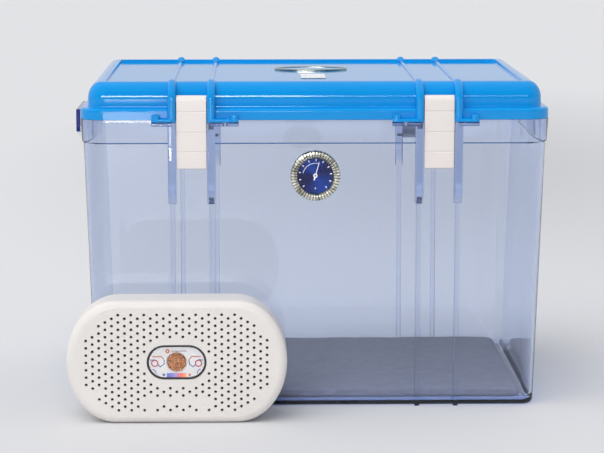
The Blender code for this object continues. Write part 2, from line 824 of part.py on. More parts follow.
def make_lid_holes():
    """Blind holes for the latch pins and hinge pins, and the tie holes in the inner tabs."""
    bm = bmesh.new()
    radius = PIN_RADIUS + PIN_CLEARANCE
    for end in (LEFT, RIGHT):
        latch_centre = (end * LATCH_X, -LATCH_AXIS_Y, LATCH_AXIS_Z)
        add_cylinder(bm, latch_centre, radius, PIN_SPAN + 2 * GAP)
        hinge_centre = (end * LATCH_X, HINGE_AXIS_Y, HINGE_AXIS_Z)
        add_cylinder(bm, hinge_centre, radius, PIN_SPAN + 2 * GAP)
        for x in tab_hole_places():
            centre = (end * x, tab_middle_y(), LID_RIB_BOTTOM)
            add_cylinder(bm, centre, TAB_HOLE_RADIUS, 6 * TAB_THICKNESS, "Z")
    return make_helper("lid_hole_shapes", bm)


def make_gasket(finish):
    """Rubber ring in the lid's groove, which the tub's lip presses."""
    top = LID_RIM_TOP - LID_WALL - GAP
    near = LID_WALL + GAP
    far = near + GASKET_WIDTH
    sections = [(near, LIP_TOP + GAP), (near, top), (far, top), (far, LIP_TOP + GAP)]
    return make_object("lid_gasket", loft_box(sections, closed=True), finish)


def make_badge(finish):
    """Plain oval badge, with a raised border."""
    bm = bmesh.new()
    base = PANEL_TOP + GAP
    rings = []
    for inset, rise in (
        (0, 0),
        (0, 0.7),
        (0.0006, 1.0),
        (0.0016, 1.0),
        (0.0022, 0.6),
    ):
        ring = []
        for step in range(TURN_STEPS):
            angle = math.tau * step / TURN_STEPS
            x = (BADGE_LENGTH / 2 - inset) * math.cos(angle)
            y = BADGE_Y + (BADGE_DEPTH / 2 - inset) * math.sin(angle)
            ring.append((x, y, base + rise * BADGE_THICKNESS))
        rings.append(ring)
    join_rings(bm, rings, closed=False)
    return make_object("lid_badge", bm, finish)


def make_sticker(finish):
    """Blank white label on the lid's panel."""
    bm = bmesh.new()
    outline = rounded_rectangle(STICKER_LENGTH / 2, STICKER_DEPTH / 2, STICKER_CORNER)
    base = PANEL_TOP + GAP
    moved = [(x, y + STICKER_Y) for x, y in outline]
    add_prism(bm, moved, base, base + STICKER_THICKNESS, "XY")
    return make_object("lid_sticker", bm, finish)


def latch_outline():
    """Side outline of a latch about its pin: the barrel, the grooved plate and the hook, as Y and Z.

    The hook stops just short of the ledge's face, so the solids stay apart as the lid swings up.
    """
    face = LATCH_AXIS_Y - LATCH_FACE_Y
    inner = LATCH_AXIS_Y - LATCH_INNER_Y
    foot = LATCH_BARREL_RADIUS - LATCH_HEIGHT
    hook_top = BAND_BOTTOM - GAP - LATCH_AXIS_Z
    hook_bottom = hook_top - LATCH_HOOK_HEIGHT
    hook_y = LATCH_AXIS_Y - catch_face_y() - CATCH_CLEARANCE
    points = arc((0, 0), LATCH_BARREL_RADIUS, -50, 180, 11)
    for depth in LATCH_GROOVES:
        middle = LATCH_BARREL_RADIUS - depth
        points.append((face, middle + LATCH_GROOVE_DEPTH))
        points.append((face + LATCH_GROOVE_DEPTH, middle))
        points.append((face, middle - LATCH_GROOVE_DEPTH))
    points += [
        (face, foot + LATCH_EDGE),
        (face + LATCH_EDGE, foot),
        (inner - LATCH_BACK_EDGE, foot),
        (inner, foot + LATCH_BACK_EDGE),
        (inner, hook_bottom - HOOK_RAMP),
        (hook_y, hook_bottom + HOOK_FACE_RISE),
        (hook_y, hook_top),
        (inner, hook_top),
        (inner, -LATCH_BARREL_RADIUS - BARREL_CLEARANCE),
    ]
    return points


def make_latch(name, end, lid, finish):
    """A latch whose origin is on its pin."""
    pivot = make_empty(name + "_pivot", (end * LATCH_X, -LATCH_AXIS_Y, LATCH_AXIS_Z))
    hang(pivot, lid)
    bm = bmesh.new()
    add_prism(bm, latch_outline(), -LATCH_WIDTH / 2, LATCH_WIDTH / 2)
    latch = make_object(name, bm, finish, pivot)
    bm = bmesh.new()
    add_cylinder(bm, (0, 0, 0), PIN_RADIUS + PIN_CLEARANCE, 2 * LATCH_WIDTH)
    combine(latch, make_helper(name + "_bore", bm, pivot), "DIFFERENCE")
    return latch


def make_pin(name, centre, finish):
    """A plain steel pin along X, with chamfered ends."""
    half = PIN_SPAN / 2
    outline = [
        (0, -half),
        (PIN_RADIUS - PIN_CHAMFER, -half),
        (PIN_RADIUS, -half + PIN_CHAMFER),
        (PIN_RADIUS, half - PIN_CHAMFER),
        (PIN_RADIUS - PIN_CHAMFER, half),
        (0, half),
    ]
    pin = make_object(name, turned(outline, PIN_STEPS), finish)
    pin.location = centre
    pin.rotation_euler = (0, math.pi / 2, 0)
    return pin


def make_hinge_leaf(name, end, finish):
    """A leaf on the tub's back: a barrel for the lid's pin, a plate and a foot barrel for its own pin."""
    foot_y, foot_z = leaf_foot()
    axis = (HINGE_AXIS_Y, HINGE_AXIS_Z)
    plate_inner = BOX_DEPTH / 2 + 2 * GAP + LEAF_CLEARANCE
    plate_outer = plate_inner + LEAF_PLATE
    outline = arc(axis, HINGE_BARREL_RADIUS, -70, 165, 12)
    plate_foot = foot_z + LEAF_FOOT_RISE
    outline += [(plate_inner, HINGE_AXIS_Z - LEAF_TOP_DROP), (plate_inner, plate_foot)]
    outline += arc((foot_y, foot_z), LEAF_FOOT_RADIUS, 170, 380, 10)
    outline += [(plate_outer, plate_foot), (plate_outer, HINGE_AXIS_Z - LEAF_FACE_DROP)]
    bm = bmesh.new()
    middle = end * LATCH_X
    add_prism(bm, outline, middle - LATCH_WIDTH / 2, middle + LATCH_WIDTH / 2)
    leaf = make_object(name, bm, finish)
    bm = bmesh.new()
    for y, z in (axis, (foot_y, foot_z)):
        add_cylinder(bm, (middle, y, z), PIN_RADIUS + PIN_CLEARANCE, 2 * LATCH_WIDTH)
    combine(leaf, make_helper(name + "_bores", bm), "DIFFERENCE")
    return leaf


def make_foam(finish):
    """Foam mat that covers the tub's floor."""
    floor = FLOOR_THICKNESS + GAP
    inset = wall_inset(0) + BODY_WALL + BASE_FILLET + FOAM_CLEARANCE
    sections = [
        (inset + FOAM_EDGE, floor),
        (inset, floor + FOAM_EDGE),
        (inset, floor + FOAM_THICKNESS - FOAM_EDGE),
        (inset + FOAM_EDGE, floor + FOAM_THICKNESS),
    ]
    return make_object("foam_mat", loft_box(sections), finish)


def make_gauge(finishes):
    """Dial hygrometer through the front wall. Its own +Z points out of the wall, along its shaft."""
    tilt = math.pi / 2 + math.atan(DRAFT)
    centre = (0, -wall_y(GAUGE_HEIGHT), GAUGE_HEIGHT)
    seat = make_empty("gauge_seat", centre, (tilt, 0, 0))
    seal_top = GAP + GAUGE_SEAL
    flange_bottom = seal_top + GAP
    flange_top = flange_bottom + CASE_FLANGE
    flange_radius = BEZEL_RADIUS - BEZEL_WALL - GAP
    lens_bottom = flange_top + GAP
    lens_top = lens_bottom + LENS_THICKNESS
    bezel_lip = lens_top + GAP
    bezel_top = GAP + BEZEL_EDGE + BEZEL_DEPTH
    case_inner = CASE_RADIUS - CASE_WALL
    case_bottom = flange_bottom - CASE_DEPTH

    seal = [
        (CASE_RADIUS + GAP, GAP),
        (flange_radius, GAP),
        (flange_radius, seal_top),
        (CASE_RADIUS + GAP, seal_top),
    ]
    make_object("gauge_seal", turned(seal), finishes["rubber"], seat)

    case = [
        (CASE_VENT_RADIUS, case_bottom),
        (CASE_RADIUS - CASE_EDGE, case_bottom),
        (CASE_RADIUS, case_bottom + CASE_EDGE),
        (CASE_RADIUS, flange_bottom),
        (flange_radius, flange_bottom),
        (flange_radius, flange_top),
        (case_inner, flange_top),
        (case_inner, case_bottom + CASE_WALL),
        (CASE_VENT_RADIUS, case_bottom + CASE_WALL),
    ]
    make_object("gauge_case", turned(case), finishes["dark"], seat)

    bezel = [
        (BEZEL_RADIUS - BEZEL_WALL, GAP + BEZEL_EDGE),
        (BEZEL_RADIUS, GAP + BEZEL_EDGE),
        (BEZEL_RADIUS, bezel_lip + BEZEL_EDGE / 2),
        *((BEZEL_RADIUS - inset, bezel_top - drop) for inset, drop in BEZEL_STEPS),
        (DIAL_WINDOW_RADIUS, bezel_lip + GAP),
        (DIAL_WINDOW_RADIUS, bezel_lip),
        (BEZEL_RADIUS - BEZEL_WALL, bezel_lip),
    ]
    make_object("gauge_bezel", turned(bezel), finishes["chrome"], seat)

    lens_radius = flange_radius - GAP
    lens = [(0, lens_bottom), (lens_radius, lens_bottom), (lens_radius, lens_top), (0, lens_top)]
    make_object("gauge_lens", turned(lens), finishes["clear"], seat)

    dial_top = flange_top - DIAL_DEPTH
    arbor_hole = ARBOR_RADIUS + GAP
    dial = [
        (arbor_hole, dial_top - DIAL_THICKNESS),
        (case_inner - GAP, dial_top - DIAL_THICKNESS),
        (case_inner - GAP, dial_top),
        (arbor_hole, dial_top),
    ]
    make_object("gauge_dial", turned(dial), finishes["dial"], seat)

    retainer_top = -BODY_WALL - GAP
    retainer = [
        (CASE_RADIUS + GAP, retainer_top - RETAINER_THICKNESS),
        (CASE_RADIUS + RETAINER_WIDTH, retainer_top - RETAINER_THICKNESS),
        (CASE_RADIUS + RETAINER_WIDTH, retainer_top),
        (CASE_RADIUS + GAP, retainer_top),
    ]
    make_object("gauge_retaining_ring", turned(retainer), finishes["dark"], seat)

    bridge_top = case_bottom + CASE_WALL + BRIDGE_RISE
    bm = bmesh.new()
    bar_length = case_inner - GAP - NEEDLE_LIFT
    bar = rounded_rectangle(bar_length, BRIDGE_HALF_WIDTH, 0.95 * BRIDGE_HALF_WIDTH)
    add_prism(bm, bar, bridge_top - BRIDGE_THICKNESS, bridge_top, "XY")
    bridge = make_object("gauge_bridge", bm, finishes["brass"], seat)
    bm = bmesh.new()
    add_cylinder(bm, (0, 0, bridge_top), arbor_hole, 0.004, "Z")
    combine(bridge, make_helper("gauge_bridge_bore", bm, seat), "DIFFERENCE")

    coil_bottom = bridge_top + 0.0008
    coil_width = min(COIL_WIDTH, dial_top - DIAL_THICKNESS - coil_bottom - GAP)
    make_coil(coil_bottom, coil_width, finishes["steel"], seat)
    make_needle(dial_top, bridge_top - 0.0009, finishes, seat)


def make_coil(bottom, width, finish, seat):
    """Humidity-sensing spiral strip round the needle's shaft."""
    start = ARBOR_RADIUS + 2 * GAP
    end = CASE_RADIUS - CASE_WALL - 0.002
    steps = COIL_TURNS * 14
    rings = []
    for step in range(steps + 1):
        angle = math.tau * COIL_TURNS * step / steps
        radius = start + (end - start) * step / steps
        ring = []
        for across, height in ((0, 0), (1, 0), (1, 1), (0, 1)):
            reach = radius + across * COIL_STRIP
            ring.append((reach * math.cos(angle), reach * math.sin(angle), bottom + height * width))
        rings.append(ring)
    bm = bmesh.new()
    join_rings(bm, rings, closed=False)
    return make_object("gauge_coil", bm, finish, seat)


def make_needle(dial_top, shaft_bottom, finishes, seat):
    """The needle, its hub and its shaft, which turn together."""
    turn = make_empty("needle_turn", (0, 0, 0), parent=seat)
    needle_bottom = dial_top + NEEDLE_LIFT
    needle_top = needle_bottom + NEEDLE_THICKNESS
    arbor = [
        (0, shaft_bottom),
        (ARBOR_RADIUS, shaft_bottom),
        (ARBOR_RADIUS, needle_top + 0.0001),
        (0, needle_top + 0.0001),
    ]
    make_object("gauge_arbor", turned(arbor, PIN_STEPS), finishes["brass"], turn)

    direction = math.radians(90 - NEEDLE_REST_DEG)
    outline = []
    for along, across in (
        (NEEDLE_LENGTH, NEEDLE_TIP),
        (HUB_RADIUS, NEEDLE_WIDTH / 2),
        (0, HUB_RADIUS),
        (-HUB_RADIUS, NEEDLE_WIDTH / 2),
        (-NEEDLE_TAIL, NEEDLE_WIDTH / 2),
        (-NEEDLE_TAIL, -NEEDLE_WIDTH / 2),
        (-HUB_RADIUS, -NEEDLE_WIDTH / 2),
        (0, -HUB_RADIUS),
        (HUB_RADIUS, -NEEDLE_WIDTH / 2),
        (NEEDLE_LENGTH, -NEEDLE_TIP),
    ):
        outline.append(
            (
                along * math.cos(direction) - across * math.sin(direction),
                along * math.sin(direction) + across * math.cos(direction),
            )
        )
    bm = bmesh.new()
    add_prism(bm, outline, needle_bottom, needle_top, "XY")
    needle = make_object("gauge_needle", bm, finishes["white"], turn)
    bm = bmesh.new()
    add_cylinder(bm, (0, 0, needle_bottom), ARBOR_RADIUS + 0.0001, 0.002, "Z")
    combine(needle, make_helper("gauge_needle_bore", bm, turn), "DIFFERENCE")


def dryer_outline(inset):
    """The dryer's outline: flat along the top and bottom, with half-oval ends, as X and Z."""
    end_x = DRYER_LENGTH / 2 - DRYER_END_WIDTH
    end_width = DRYER_END_WIDTH - inset
    half_height = DRYER_HEIGHT / 2 - inset
    points = []
    for side in (RIGHT, LEFT):
        for step in range(2 * OUTLINE_STEPS + 1):
            angle = math.pi / 2 * (1 - step / OUTLINE_STEPS)
            x = side * (end_x + end_width * math.cos(angle))
            z = DRYER_HEIGHT / 2 + side * half_height * math.sin(angle)
            points.append((x, z))
    return points


def loft_dryer(sections, closed=False):
    """A lofted shape from pairs of inset and Y."""
    bm = bmesh.new()
    rings = [[(x, y, z) for x, z in dryer_outline(inset)] for inset, y in sections]
    join_rings(bm, rings, closed)
    return bm


def stadium(length, height, centre_z, steps=6):
    """Straight top and bottom with half-round ends, as X and Z."""
    radius = height / 2
    half = length / 2 - radius
    points = arc((half, centre_z), radius, 90, -90, 2 * steps)
    points += arc((-half, centre_z), radius, 270, 90, 2 * steps)
    return points


def vent_places():
    """Hole centres of the staggered vent pattern that stay clear of the window, the screws and the edge."""
    middle = DRYER_HEIGHT / 2
    half_window = (WINDOW_LENGTH - WINDOW_HEIGHT) / 2
    rows = round(middle / VENT_PITCH)
    for column in range(-VENT_END_COLUMN, VENT_END_COLUMN + 1):
        x = column * VENT_COLUMN_PITCH
        beyond = max(abs(column) - VENT_FULL_COLUMN, 0)
        limit = middle - VENT_EDGE - beyond * VENT_PITCH / 2
        if abs(column) > VENT_SHORT_COLUMN:
            limit -= VENT_PITCH
        for row in range(-rows, rows + 1):
            rise = (row + 0.5 * (column % 2)) * VENT_PITCH
            to_window = math.hypot(max(abs(x) - half_window, 0), rise)
            near_window = to_window < WINDOW_HEIGHT / 2 + WINDOW_MARGIN
            in_blank = abs(column) <= VENT_BLANK_COLUMN and VENT_BLANK_LOW < middle + rise < VENT_BLANK_HIGH
            on_screw = abs(column) == LOWER_SCREW_COLUMN and abs(rise + LOWER_SCREW_DROP) < VENT_RADIUS
            in_low_gap = abs(column) == LOW_GAP_COLUMN and abs(rise + LOW_GAP_DROP) < VENT_RADIUS
            left_out = near_window or in_blank or on_screw or in_low_gap
            if abs(rise) <= limit + GAP and not left_out:
                yield x, middle + rise


def make_dryer(finishes):
    """Rechargeable dryer unit: a perforated case round beads, a heater and its electrics."""
    seat = make_empty("dryer_seat", (DRYER_X, 0, 0))
    make_dryer_shells(finishes, seat)
    make_dryer_window(finishes, seat)
    make_dryer_inside(finishes, seat)
    make_dryer_screws(finishes, seat)


def screw_places():
    """Number and place of each case screw. The lower two take the place of a vent."""
    middle = DRYER_HEIGHT / 2
    upper = (UPPER_SCREW_X, middle + UPPER_SCREW_RISE)
    lower = (LOWER_SCREW_COLUMN * VENT_COLUMN_PITCH, middle - LOWER_SCREW_DROP)
    places = ((LEFT, upper), (RIGHT, upper), (LEFT, lower), (RIGHT, lower))
    for number, (side, (x, z)) in enumerate(places, 1):
        yield number, side * x, z


def add_window_cutter(bm, clearance, start, end):
    outline = stadium(WINDOW_LENGTH + 2 * clearance, WINDOW_HEIGHT + 2 * clearance, WINDOW_Z)
    add_prism(bm, outline, start, end, "XZ")


def make_dryer_shells(finishes, seat):
    wall = DRYER_WALL
    edge = DRYER_EDGE_ROUND
    front = DRYER_FRONT_Y
    split = DRYER_SPLIT_Y - GAP / 2
    front_sections = [
        (edge, front),
        (0.45 * edge, front + 0.15 * edge),
        (0.13 * edge, front + 0.5 * edge),
        (0, front + edge),
        (0, split),
        (wall, split),
        (wall, front + edge),
        (wall + 0.3 * edge, front + wall + 0.15 * edge),
        (wall + edge, front + wall),
    ]
    shell = make_object("dryer_front_shell", loft_dryer(front_sections), finishes["ivory"], seat)
    bm = bmesh.new()
    boss_start = front + wall / 2
    for _, x, z in screw_places():
        radius = SCREW_RADIUS + SCREW_BOSS_WALL
        add_cylinder(bm, (x, (boss_start + split) / 2, z), radius, split - boss_start, "Y", 10)
    combine(shell, make_helper("front_boss_shapes", bm, seat), "UNION")

    bm = bmesh.new()
    for x, z in vent_places():
        add_cylinder(bm, (x, front, z), VENT_RADIUS, 4 * wall, "Y", VENT_SIDES)
    add_window_cutter(bm, GAP, front - wall, front + 3 * wall)
    depth = split - front - 2 * wall
    for _, x, z in screw_places():
        centre = (x, split - depth / 2 + wall / 2, z)
        add_cylinder(bm, centre, SCREW_RADIUS + GAP, depth + wall, "Y", 10)
    combine(shell, make_helper("front_shell_cuts", bm, seat), "DIFFERENCE")

    back = DRYER_BACK_Y
    split = DRYER_SPLIT_Y + GAP / 2
    back_sections = [
        (edge / 2, back),
        (0.15 * edge, back - 0.15 * edge),
        (0, back - edge / 2),
        (0, split),
        (wall, split),
        (wall, back - edge / 2),
        (wall + edge / 2, back - wall),
    ]
    shell = make_object("dryer_back_shell", loft_dryer(back_sections), finishes["ivory"], seat)
    bm = bmesh.new()
    boss_end = back - wall / 2
    for _, x, z in screw_places():
        radius = SCREW_HEAD_RADIUS + GAP + SCREW_BOSS_WALL
        add_cylinder(bm, (x, (boss_end + split) / 2, z), radius, boss_end - split, "Y", 10)
    combine(shell, make_helper("back_boss_shapes", bm, seat), "UNION")
    bm = bmesh.new()
    add_prism(bm, inlet_outline(GAP), back - 2 * wall, back + wall, "XZ")
    pocket = screw_pocket_depth()
    for _, x, z in screw_places():
        centre = (x, back - pocket / 2 + wall, z)
        add_cylinder(bm, centre, SCREW_HEAD_RADIUS + GAP, pocket + 2 * wall, "Y", 10)
    combine(shell, make_helper("back_shell_cuts", bm, seat), "DIFFERENCE")
    bm = bmesh.new()
    for _, x, z in screw_places():
        add_cylinder(bm, (x, (split + back) / 2, z), SCREW_RADIUS + GAP, 2 * (back - split), "Y", 10)
    combine(shell, make_helper("screw_hole_shapes", bm, seat), "DIFFERENCE")


def screw_pocket_depth():
    """How deep a screw's head sits in the back shell."""
    return DRYER_DEPTH / 2 - SCREW_SEAT


def inlet_outline(clearance):
    """Power inlet's outline in the back shell, low in its middle, as X and Z."""
    half_x, half_z = (half + clearance for half in INLET_HALF)
    outline = rounded_rectangle(half_x, half_z, INLET_CORNER + clearance)
    return [(x, z + INLET_Z) for x, z in outline]


def make_dryer_window(finishes, seat):
    """Window in the grille: a frame, a clear pane, a printed card and the beads behind its port."""
    front = DRYER_FRONT_Y
    frame = WINDOW_FRAME_WIDTH
    bm = bmesh.new()
    outer = stadium(WINDOW_LENGTH, WINDOW_HEIGHT, WINDOW_Z)
    inner = stadium(WINDOW_LENGTH - 2 * frame, WINDOW_HEIGHT - 2 * frame, WINDOW_Z)
    rings = [
        [(x, front - WINDOW_PROUD, z) for x, z in outer],
        [(x, front + WINDOW_DEPTH, z) for x, z in outer],
        [(x, front + WINDOW_DEPTH, z) for x, z in inner],
        [(x, front - WINDOW_PROUD, z) for x, z in inner],
    ]
    join_rings(bm, rings, closed=True)
    make_object("dryer_window_frame", bm, finishes["dark"], seat)

    length = WINDOW_LENGTH - 2 * frame - 2 * GAP
    height = WINDOW_HEIGHT - 2 * frame - 2 * GAP
    bm = bmesh.new()
    outline = stadium(length, height, WINDOW_Z)
    add_prism(bm, outline, *(front + depth for depth in PANE_SPAN), "XZ")
    make_object("dryer_window_pane", bm, finishes["clear"], seat)

    bm = bmesh.new()
    add_prism(bm, outline, *(front + depth for depth in CARD_SPAN), "XZ")
    card = make_object("dryer_window_card", bm, finishes["white"], seat)
    bm = bmesh.new()
    add_cylinder(bm, (0, front, WINDOW_Z), PORT_RADIUS, 0.008, "Y", 24)
    combine(card, make_helper("card_port", bm, seat), "DIFFERENCE")

    bm = bmesh.new()
    beads_start, beads_end = (front + depth for depth in BEADS_SPAN)
    centre = (0, (beads_start + beads_end) / 2, WINDOW_Z)
    add_cylinder(bm, centre, PORT_RADIUS + 0.001, beads_end - beads_start, "Y", 20)
    make_object("indicator_beads", bm, finishes["beads"], seat)


def make_dryer_inside(finishes, seat):
    """What the dryer's case holds: a dust mesh, the bead pack, the heater and its electrics."""
    front_inner = DRYER_FRONT_Y + DRYER_WALL
    mesh_inset = DRYER_WALL + DRYER_EDGE_ROUND + MESH_INSET
    mesh_start = front_inner + GAP
    mesh_end = mesh_start + MESH_THICKNESS
    bm = loft_dryer([(mesh_inset, mesh_start), (mesh_inset, mesh_end)])
    mesh = make_object("dryer_dust_mesh", bm, finishes["mesh"], seat)

    pack_start = mesh_end + GAP
    pack_end = DRYER_SPLIT_Y + PACK_OVERLAP
    pack_inset = DRYER_WALL + PACK_INSET
    bm = loft_dryer(
        [
            (pack_inset + PACK_EDGE, pack_start),
            (pack_inset, pack_start + PACK_EDGE),
            (pack_inset, pack_end - PACK_BACK_EDGE),
            (pack_inset + PACK_EDGE, pack_end),
        ]
    )
    pack = make_object("desiccant_pack", bm, finishes["pack"], seat)
    bm = bmesh.new()
    add_window_cutter(bm, GAP, front_inner - DRYER_WALL / 2, DRYER_FRONT_Y + WINDOW_DEPTH + DRYER_WALL)
    for _, x, z in screw_places():
        radius = SCREW_HEAD_RADIUS + SCREW_BOSS_WALL + 3 * GAP
        add_cylinder(bm, (x, DRYER_SPLIT_Y, z), radius, DRYER_DEPTH, "Y", 10)
    cuts = make_helper("pack_cuts", bm, seat)
    combine(mesh, cuts, "DIFFERENCE")
    combine(pack, cuts, "DIFFERENCE")

    middle = DRYER_HEIGHT / 2
    plate_start = pack_end + GAP
    plate_end = plate_start + HEATER_THICKNESS
    plate = (HEATER_LENGTH, HEATER_HEIGHT)
    add_block("heater_plate", middle, plate, (plate_start, plate_end), finishes["metal"], seat)
    block_start = plate_end + GAP
    block = (block_start, block_start + ELEMENT_DEPTH)
    add_block("heater_element", middle + ELEMENT_RISE, ELEMENT_SIZE, block, finishes["dark"], seat)
    bm = bmesh.new()
    centre = (THERMOSTAT_X, block_start + THERMOSTAT_DEPTH / 2, middle)
    add_cylinder(bm, centre, THERMOSTAT_RADIUS, THERMOSTAT_DEPTH, "Y", 16)
    make_object("heater_thermostat", bm, finishes["metal"], seat)
    board_start = block_start + BOARD_SETBACK
    board = (board_start, board_start + BOARD_THICKNESS)
    add_block("control_board", BOARD_Z, BOARD_SIZE, board, finishes["board"], seat)

    inlet_end = DRYER_BACK_Y - INLET_SINK
    bm = bmesh.new()
    add_prism(bm, inlet_outline(0), DRYER_BACK_Y - INLET_DEPTH, inlet_end, "XZ")
    inlet = make_object("power_inlet", bm, finishes["dark"], seat)
    bm = bmesh.new()
    recess = inlet_outline(-INLET_WALL)
    add_prism(bm, recess, DRYER_BACK_Y - INLET_RECESS, inlet_end + INLET_WALL, "XZ")
    combine(inlet, make_helper("inlet_recess", bm, seat), "DIFFERENCE")
    for side, word in ((LEFT, "left"), (RIGHT, "right")):
        bm = bmesh.new()
        centre = (side * INLET_PIN_X, DRYER_BACK_Y - INLET_PIN_BACK, INLET_Z)
        add_cylinder(bm, centre, INLET_PIN_RADIUS, INLET_PIN_LENGTH, "Y", 8)
        make_object("inlet_pin_" + word, bm, finishes["metal"], seat)


def add_block(name, height, size, span, finish, seat):
    """A flat piece with rounded corners, standing across the dryer between two values of Y."""
    outline = rounded_rectangle(size[0] / 2, size[1] / 2, BLOCK_CORNER)
    raised = [(x, z + height) for x, z in outline]
    bm = bmesh.new()
    add_prism(bm, raised, *span, "XZ")
    make_object(name, bm, finish, seat)


def make_dryer_screws(finishes, seat):
    """Four self-tapping screws that hold the shells together from behind."""
    length = SCREW_SEAT + SCREW_BITE
    outline = [
        (0, -length),
        (SCREW_RADIUS - SCREW_SLOT, -length),
        (SCREW_RADIUS, -length + 2 * SCREW_SLOT),
        (SCREW_RADIUS, 0),
        (SCREW_HEAD_RADIUS, 0),
        (SCREW_HEAD_RADIUS, SCREW_HEAD_HEIGHT - SCREW_SLOT),
        (SCREW_HEAD_RADIUS - SCREW_SLOT, SCREW_HEAD_HEIGHT),
        (2 * SCREW_SLOT, SCREW_HEAD_HEIGHT),
        (2 * SCREW_SLOT, SCREW_HEAD_HEIGHT - SCREW_SLOT),
        (0, SCREW_HEAD_HEIGHT - SCREW_SLOT),
    ]
    for number, x, z in screw_places():
        screw = make_object(f"dryer_screw_{number}", turned(outline, 10), finishes["metal"], seat)
        screw.location = Vector((x, DRYER_BACK_Y - screw_pocket_depth() + GAP, z))
        screw.rotation_euler = (-math.pi / 2, 0, 0)


def main():
    clear_scene()
    finishes = {
        "tub": make_material("tinted_clear_plastic", (0.62, 0.68, 0.86), 0.05, transmission=1.0),
        "clear": make_material("clear_plastic", (0.95, 0.97, 1.0), 0.03, transmission=1.0),
        "blue": make_material("blue_gloss_plastic", (0.0, 0.30, 0.78), 0.22),
        "ivory": make_material("ivory_plastic", (0.80, 0.76, 0.72), 0.4),
        "rubber": make_material("grey_rubber", (0.32, 0.33, 0.35), 0.7),
        "foam": make_material("grey_foam", (0.18, 0.19, 0.25), 0.95),
        "steel": make_material("spring_steel", (0.6, 0.6, 0.62), 0.3, metallic=1.0),
        "chrome": make_material("chrome_plate", (0.8, 0.8, 0.82), 0.12, metallic=1.0),
        "brass": make_material("brass", (0.78, 0.6, 0.28), 0.3, metallic=1.0),
        "metal": make_material("bright_metal", (0.7, 0.71, 0.72), 0.35, metallic=1.0),
        "dial": make_material("blue_dial", (0.01, 0.05, 0.36), 0.3, metallic=0.4),
        "white": make_material("white_print", (0.9, 0.9, 0.9), 0.5),
        "dark": make_material("black_plastic", (0.03, 0.03, 0.035), 0.45),
        "beads": make_material("orange_beads", (0.75, 0.36, 0.22), 0.35),
        "mesh": make_material("dark_mesh", (0.05, 0.05, 0.055), 0.8),
        "pack": make_material("bead_pack", (0.78, 0.76, 0.72), 0.8),
        "board": make_material("green_board", (0.03, 0.22, 0.10), 0.5),
    }
    make_tub(finishes["tub"])
    make_foam(finishes["foam"])
    make_gauge(finishes)

    lid_pivot = make_empty("lid_pivot", (0, HINGE_AXIS_Y, HINGE_AXIS_Z))
    hang(make_lid(finishes["blue"]), lid_pivot)
    hang(make_gasket(finishes["rubber"]), lid_pivot)
    hang(make_badge(finishes["chrome"]), lid_pivot)
    hang(make_sticker(finishes["white"]), lid_pivot)
    for end, word in ((LEFT, "left"), (RIGHT, "right")):
        make_latch("latch_" + word, end, lid_pivot, finishes["ivory"])
        latch_centre = (end * LATCH_X, -LATCH_AXIS_Y, LATCH_AXIS_Z)
        hang(make_pin("latch_pin_" + word, latch_centre, finishes["steel"]), lid_pivot)
        make_hinge_leaf("hinge_leaf_" + word, end, finishes["ivory"])
        hinge_centre = (end * LATCH_X, HINGE_AXIS_Y, HINGE_AXIS_Z)
        hang(make_pin("hinge_pin_" + word, hinge_centre, finishes["steel"]), lid_pivot)
        foot_y, foot_z = leaf_foot()
        make_pin("leaf_pin_" + word, (end * LATCH_X, foot_y, foot_z), finishes["steel"])
    make_dryer(finishes)


main()
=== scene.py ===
"""Looks of the filament dryer box: a clear latched tub, a blue lid, a dial hygrometer and a dryer unit.

Lengths are in metres, in the part's own frame: +X to the right of someone facing the latches, -Y the
latch side and +Z up, with the origin at the centre of the tub's base.
"""

import math
import random

import bmesh
import bpy
from mathutils import Matrix, Vector


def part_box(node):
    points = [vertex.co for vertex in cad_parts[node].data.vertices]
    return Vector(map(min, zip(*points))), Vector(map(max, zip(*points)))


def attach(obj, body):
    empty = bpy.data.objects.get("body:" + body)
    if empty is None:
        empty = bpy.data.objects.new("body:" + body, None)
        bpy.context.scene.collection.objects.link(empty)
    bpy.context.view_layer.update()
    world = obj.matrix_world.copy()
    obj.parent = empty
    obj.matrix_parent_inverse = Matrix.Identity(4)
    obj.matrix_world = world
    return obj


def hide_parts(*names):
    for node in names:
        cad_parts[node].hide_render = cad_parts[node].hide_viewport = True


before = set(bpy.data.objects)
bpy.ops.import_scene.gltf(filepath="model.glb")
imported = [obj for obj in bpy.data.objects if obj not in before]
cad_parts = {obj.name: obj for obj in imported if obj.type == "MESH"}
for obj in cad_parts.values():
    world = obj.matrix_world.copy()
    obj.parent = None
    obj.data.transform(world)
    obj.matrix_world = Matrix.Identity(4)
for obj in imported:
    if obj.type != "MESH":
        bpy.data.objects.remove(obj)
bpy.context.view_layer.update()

FRONT, BACK = -1, 1
LEFT, RIGHT = -1, 1
GAP = 0.0003

# The tub, from the frame and its wall
TUB_LOW, TUB_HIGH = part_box("box_body")
FOAM_LOW, FOAM_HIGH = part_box("foam_mat")
DRYER_LOW, DRYER_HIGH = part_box("dryer_front_shell")
DRYER_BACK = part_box("dryer_back_shell")[1][1]
LATCH_LOW, LATCH_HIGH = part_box("latch_left")

HALF_X = 0.1925
HALF_Y = 0.136
CORNER = 0.020
CORNER_STEPS = 14
LIP_TOP = TUB_HIGH[2]
LIP_HEIGHT = 0.0041
RIM = LIP_TOP - LIP_HEIGHT
LIP_INSET = 0.0028
LIP_WIDTH = 0.0022
BAND_BOTTOM = RIM - 0.0197
BAND_STEP = 0.0012
BAND_DRAFT = 0.001
DRAFT = 0.0345
WALL = 0.0026
FLOOR = 0.003
BASE_ROUND = 0.0045

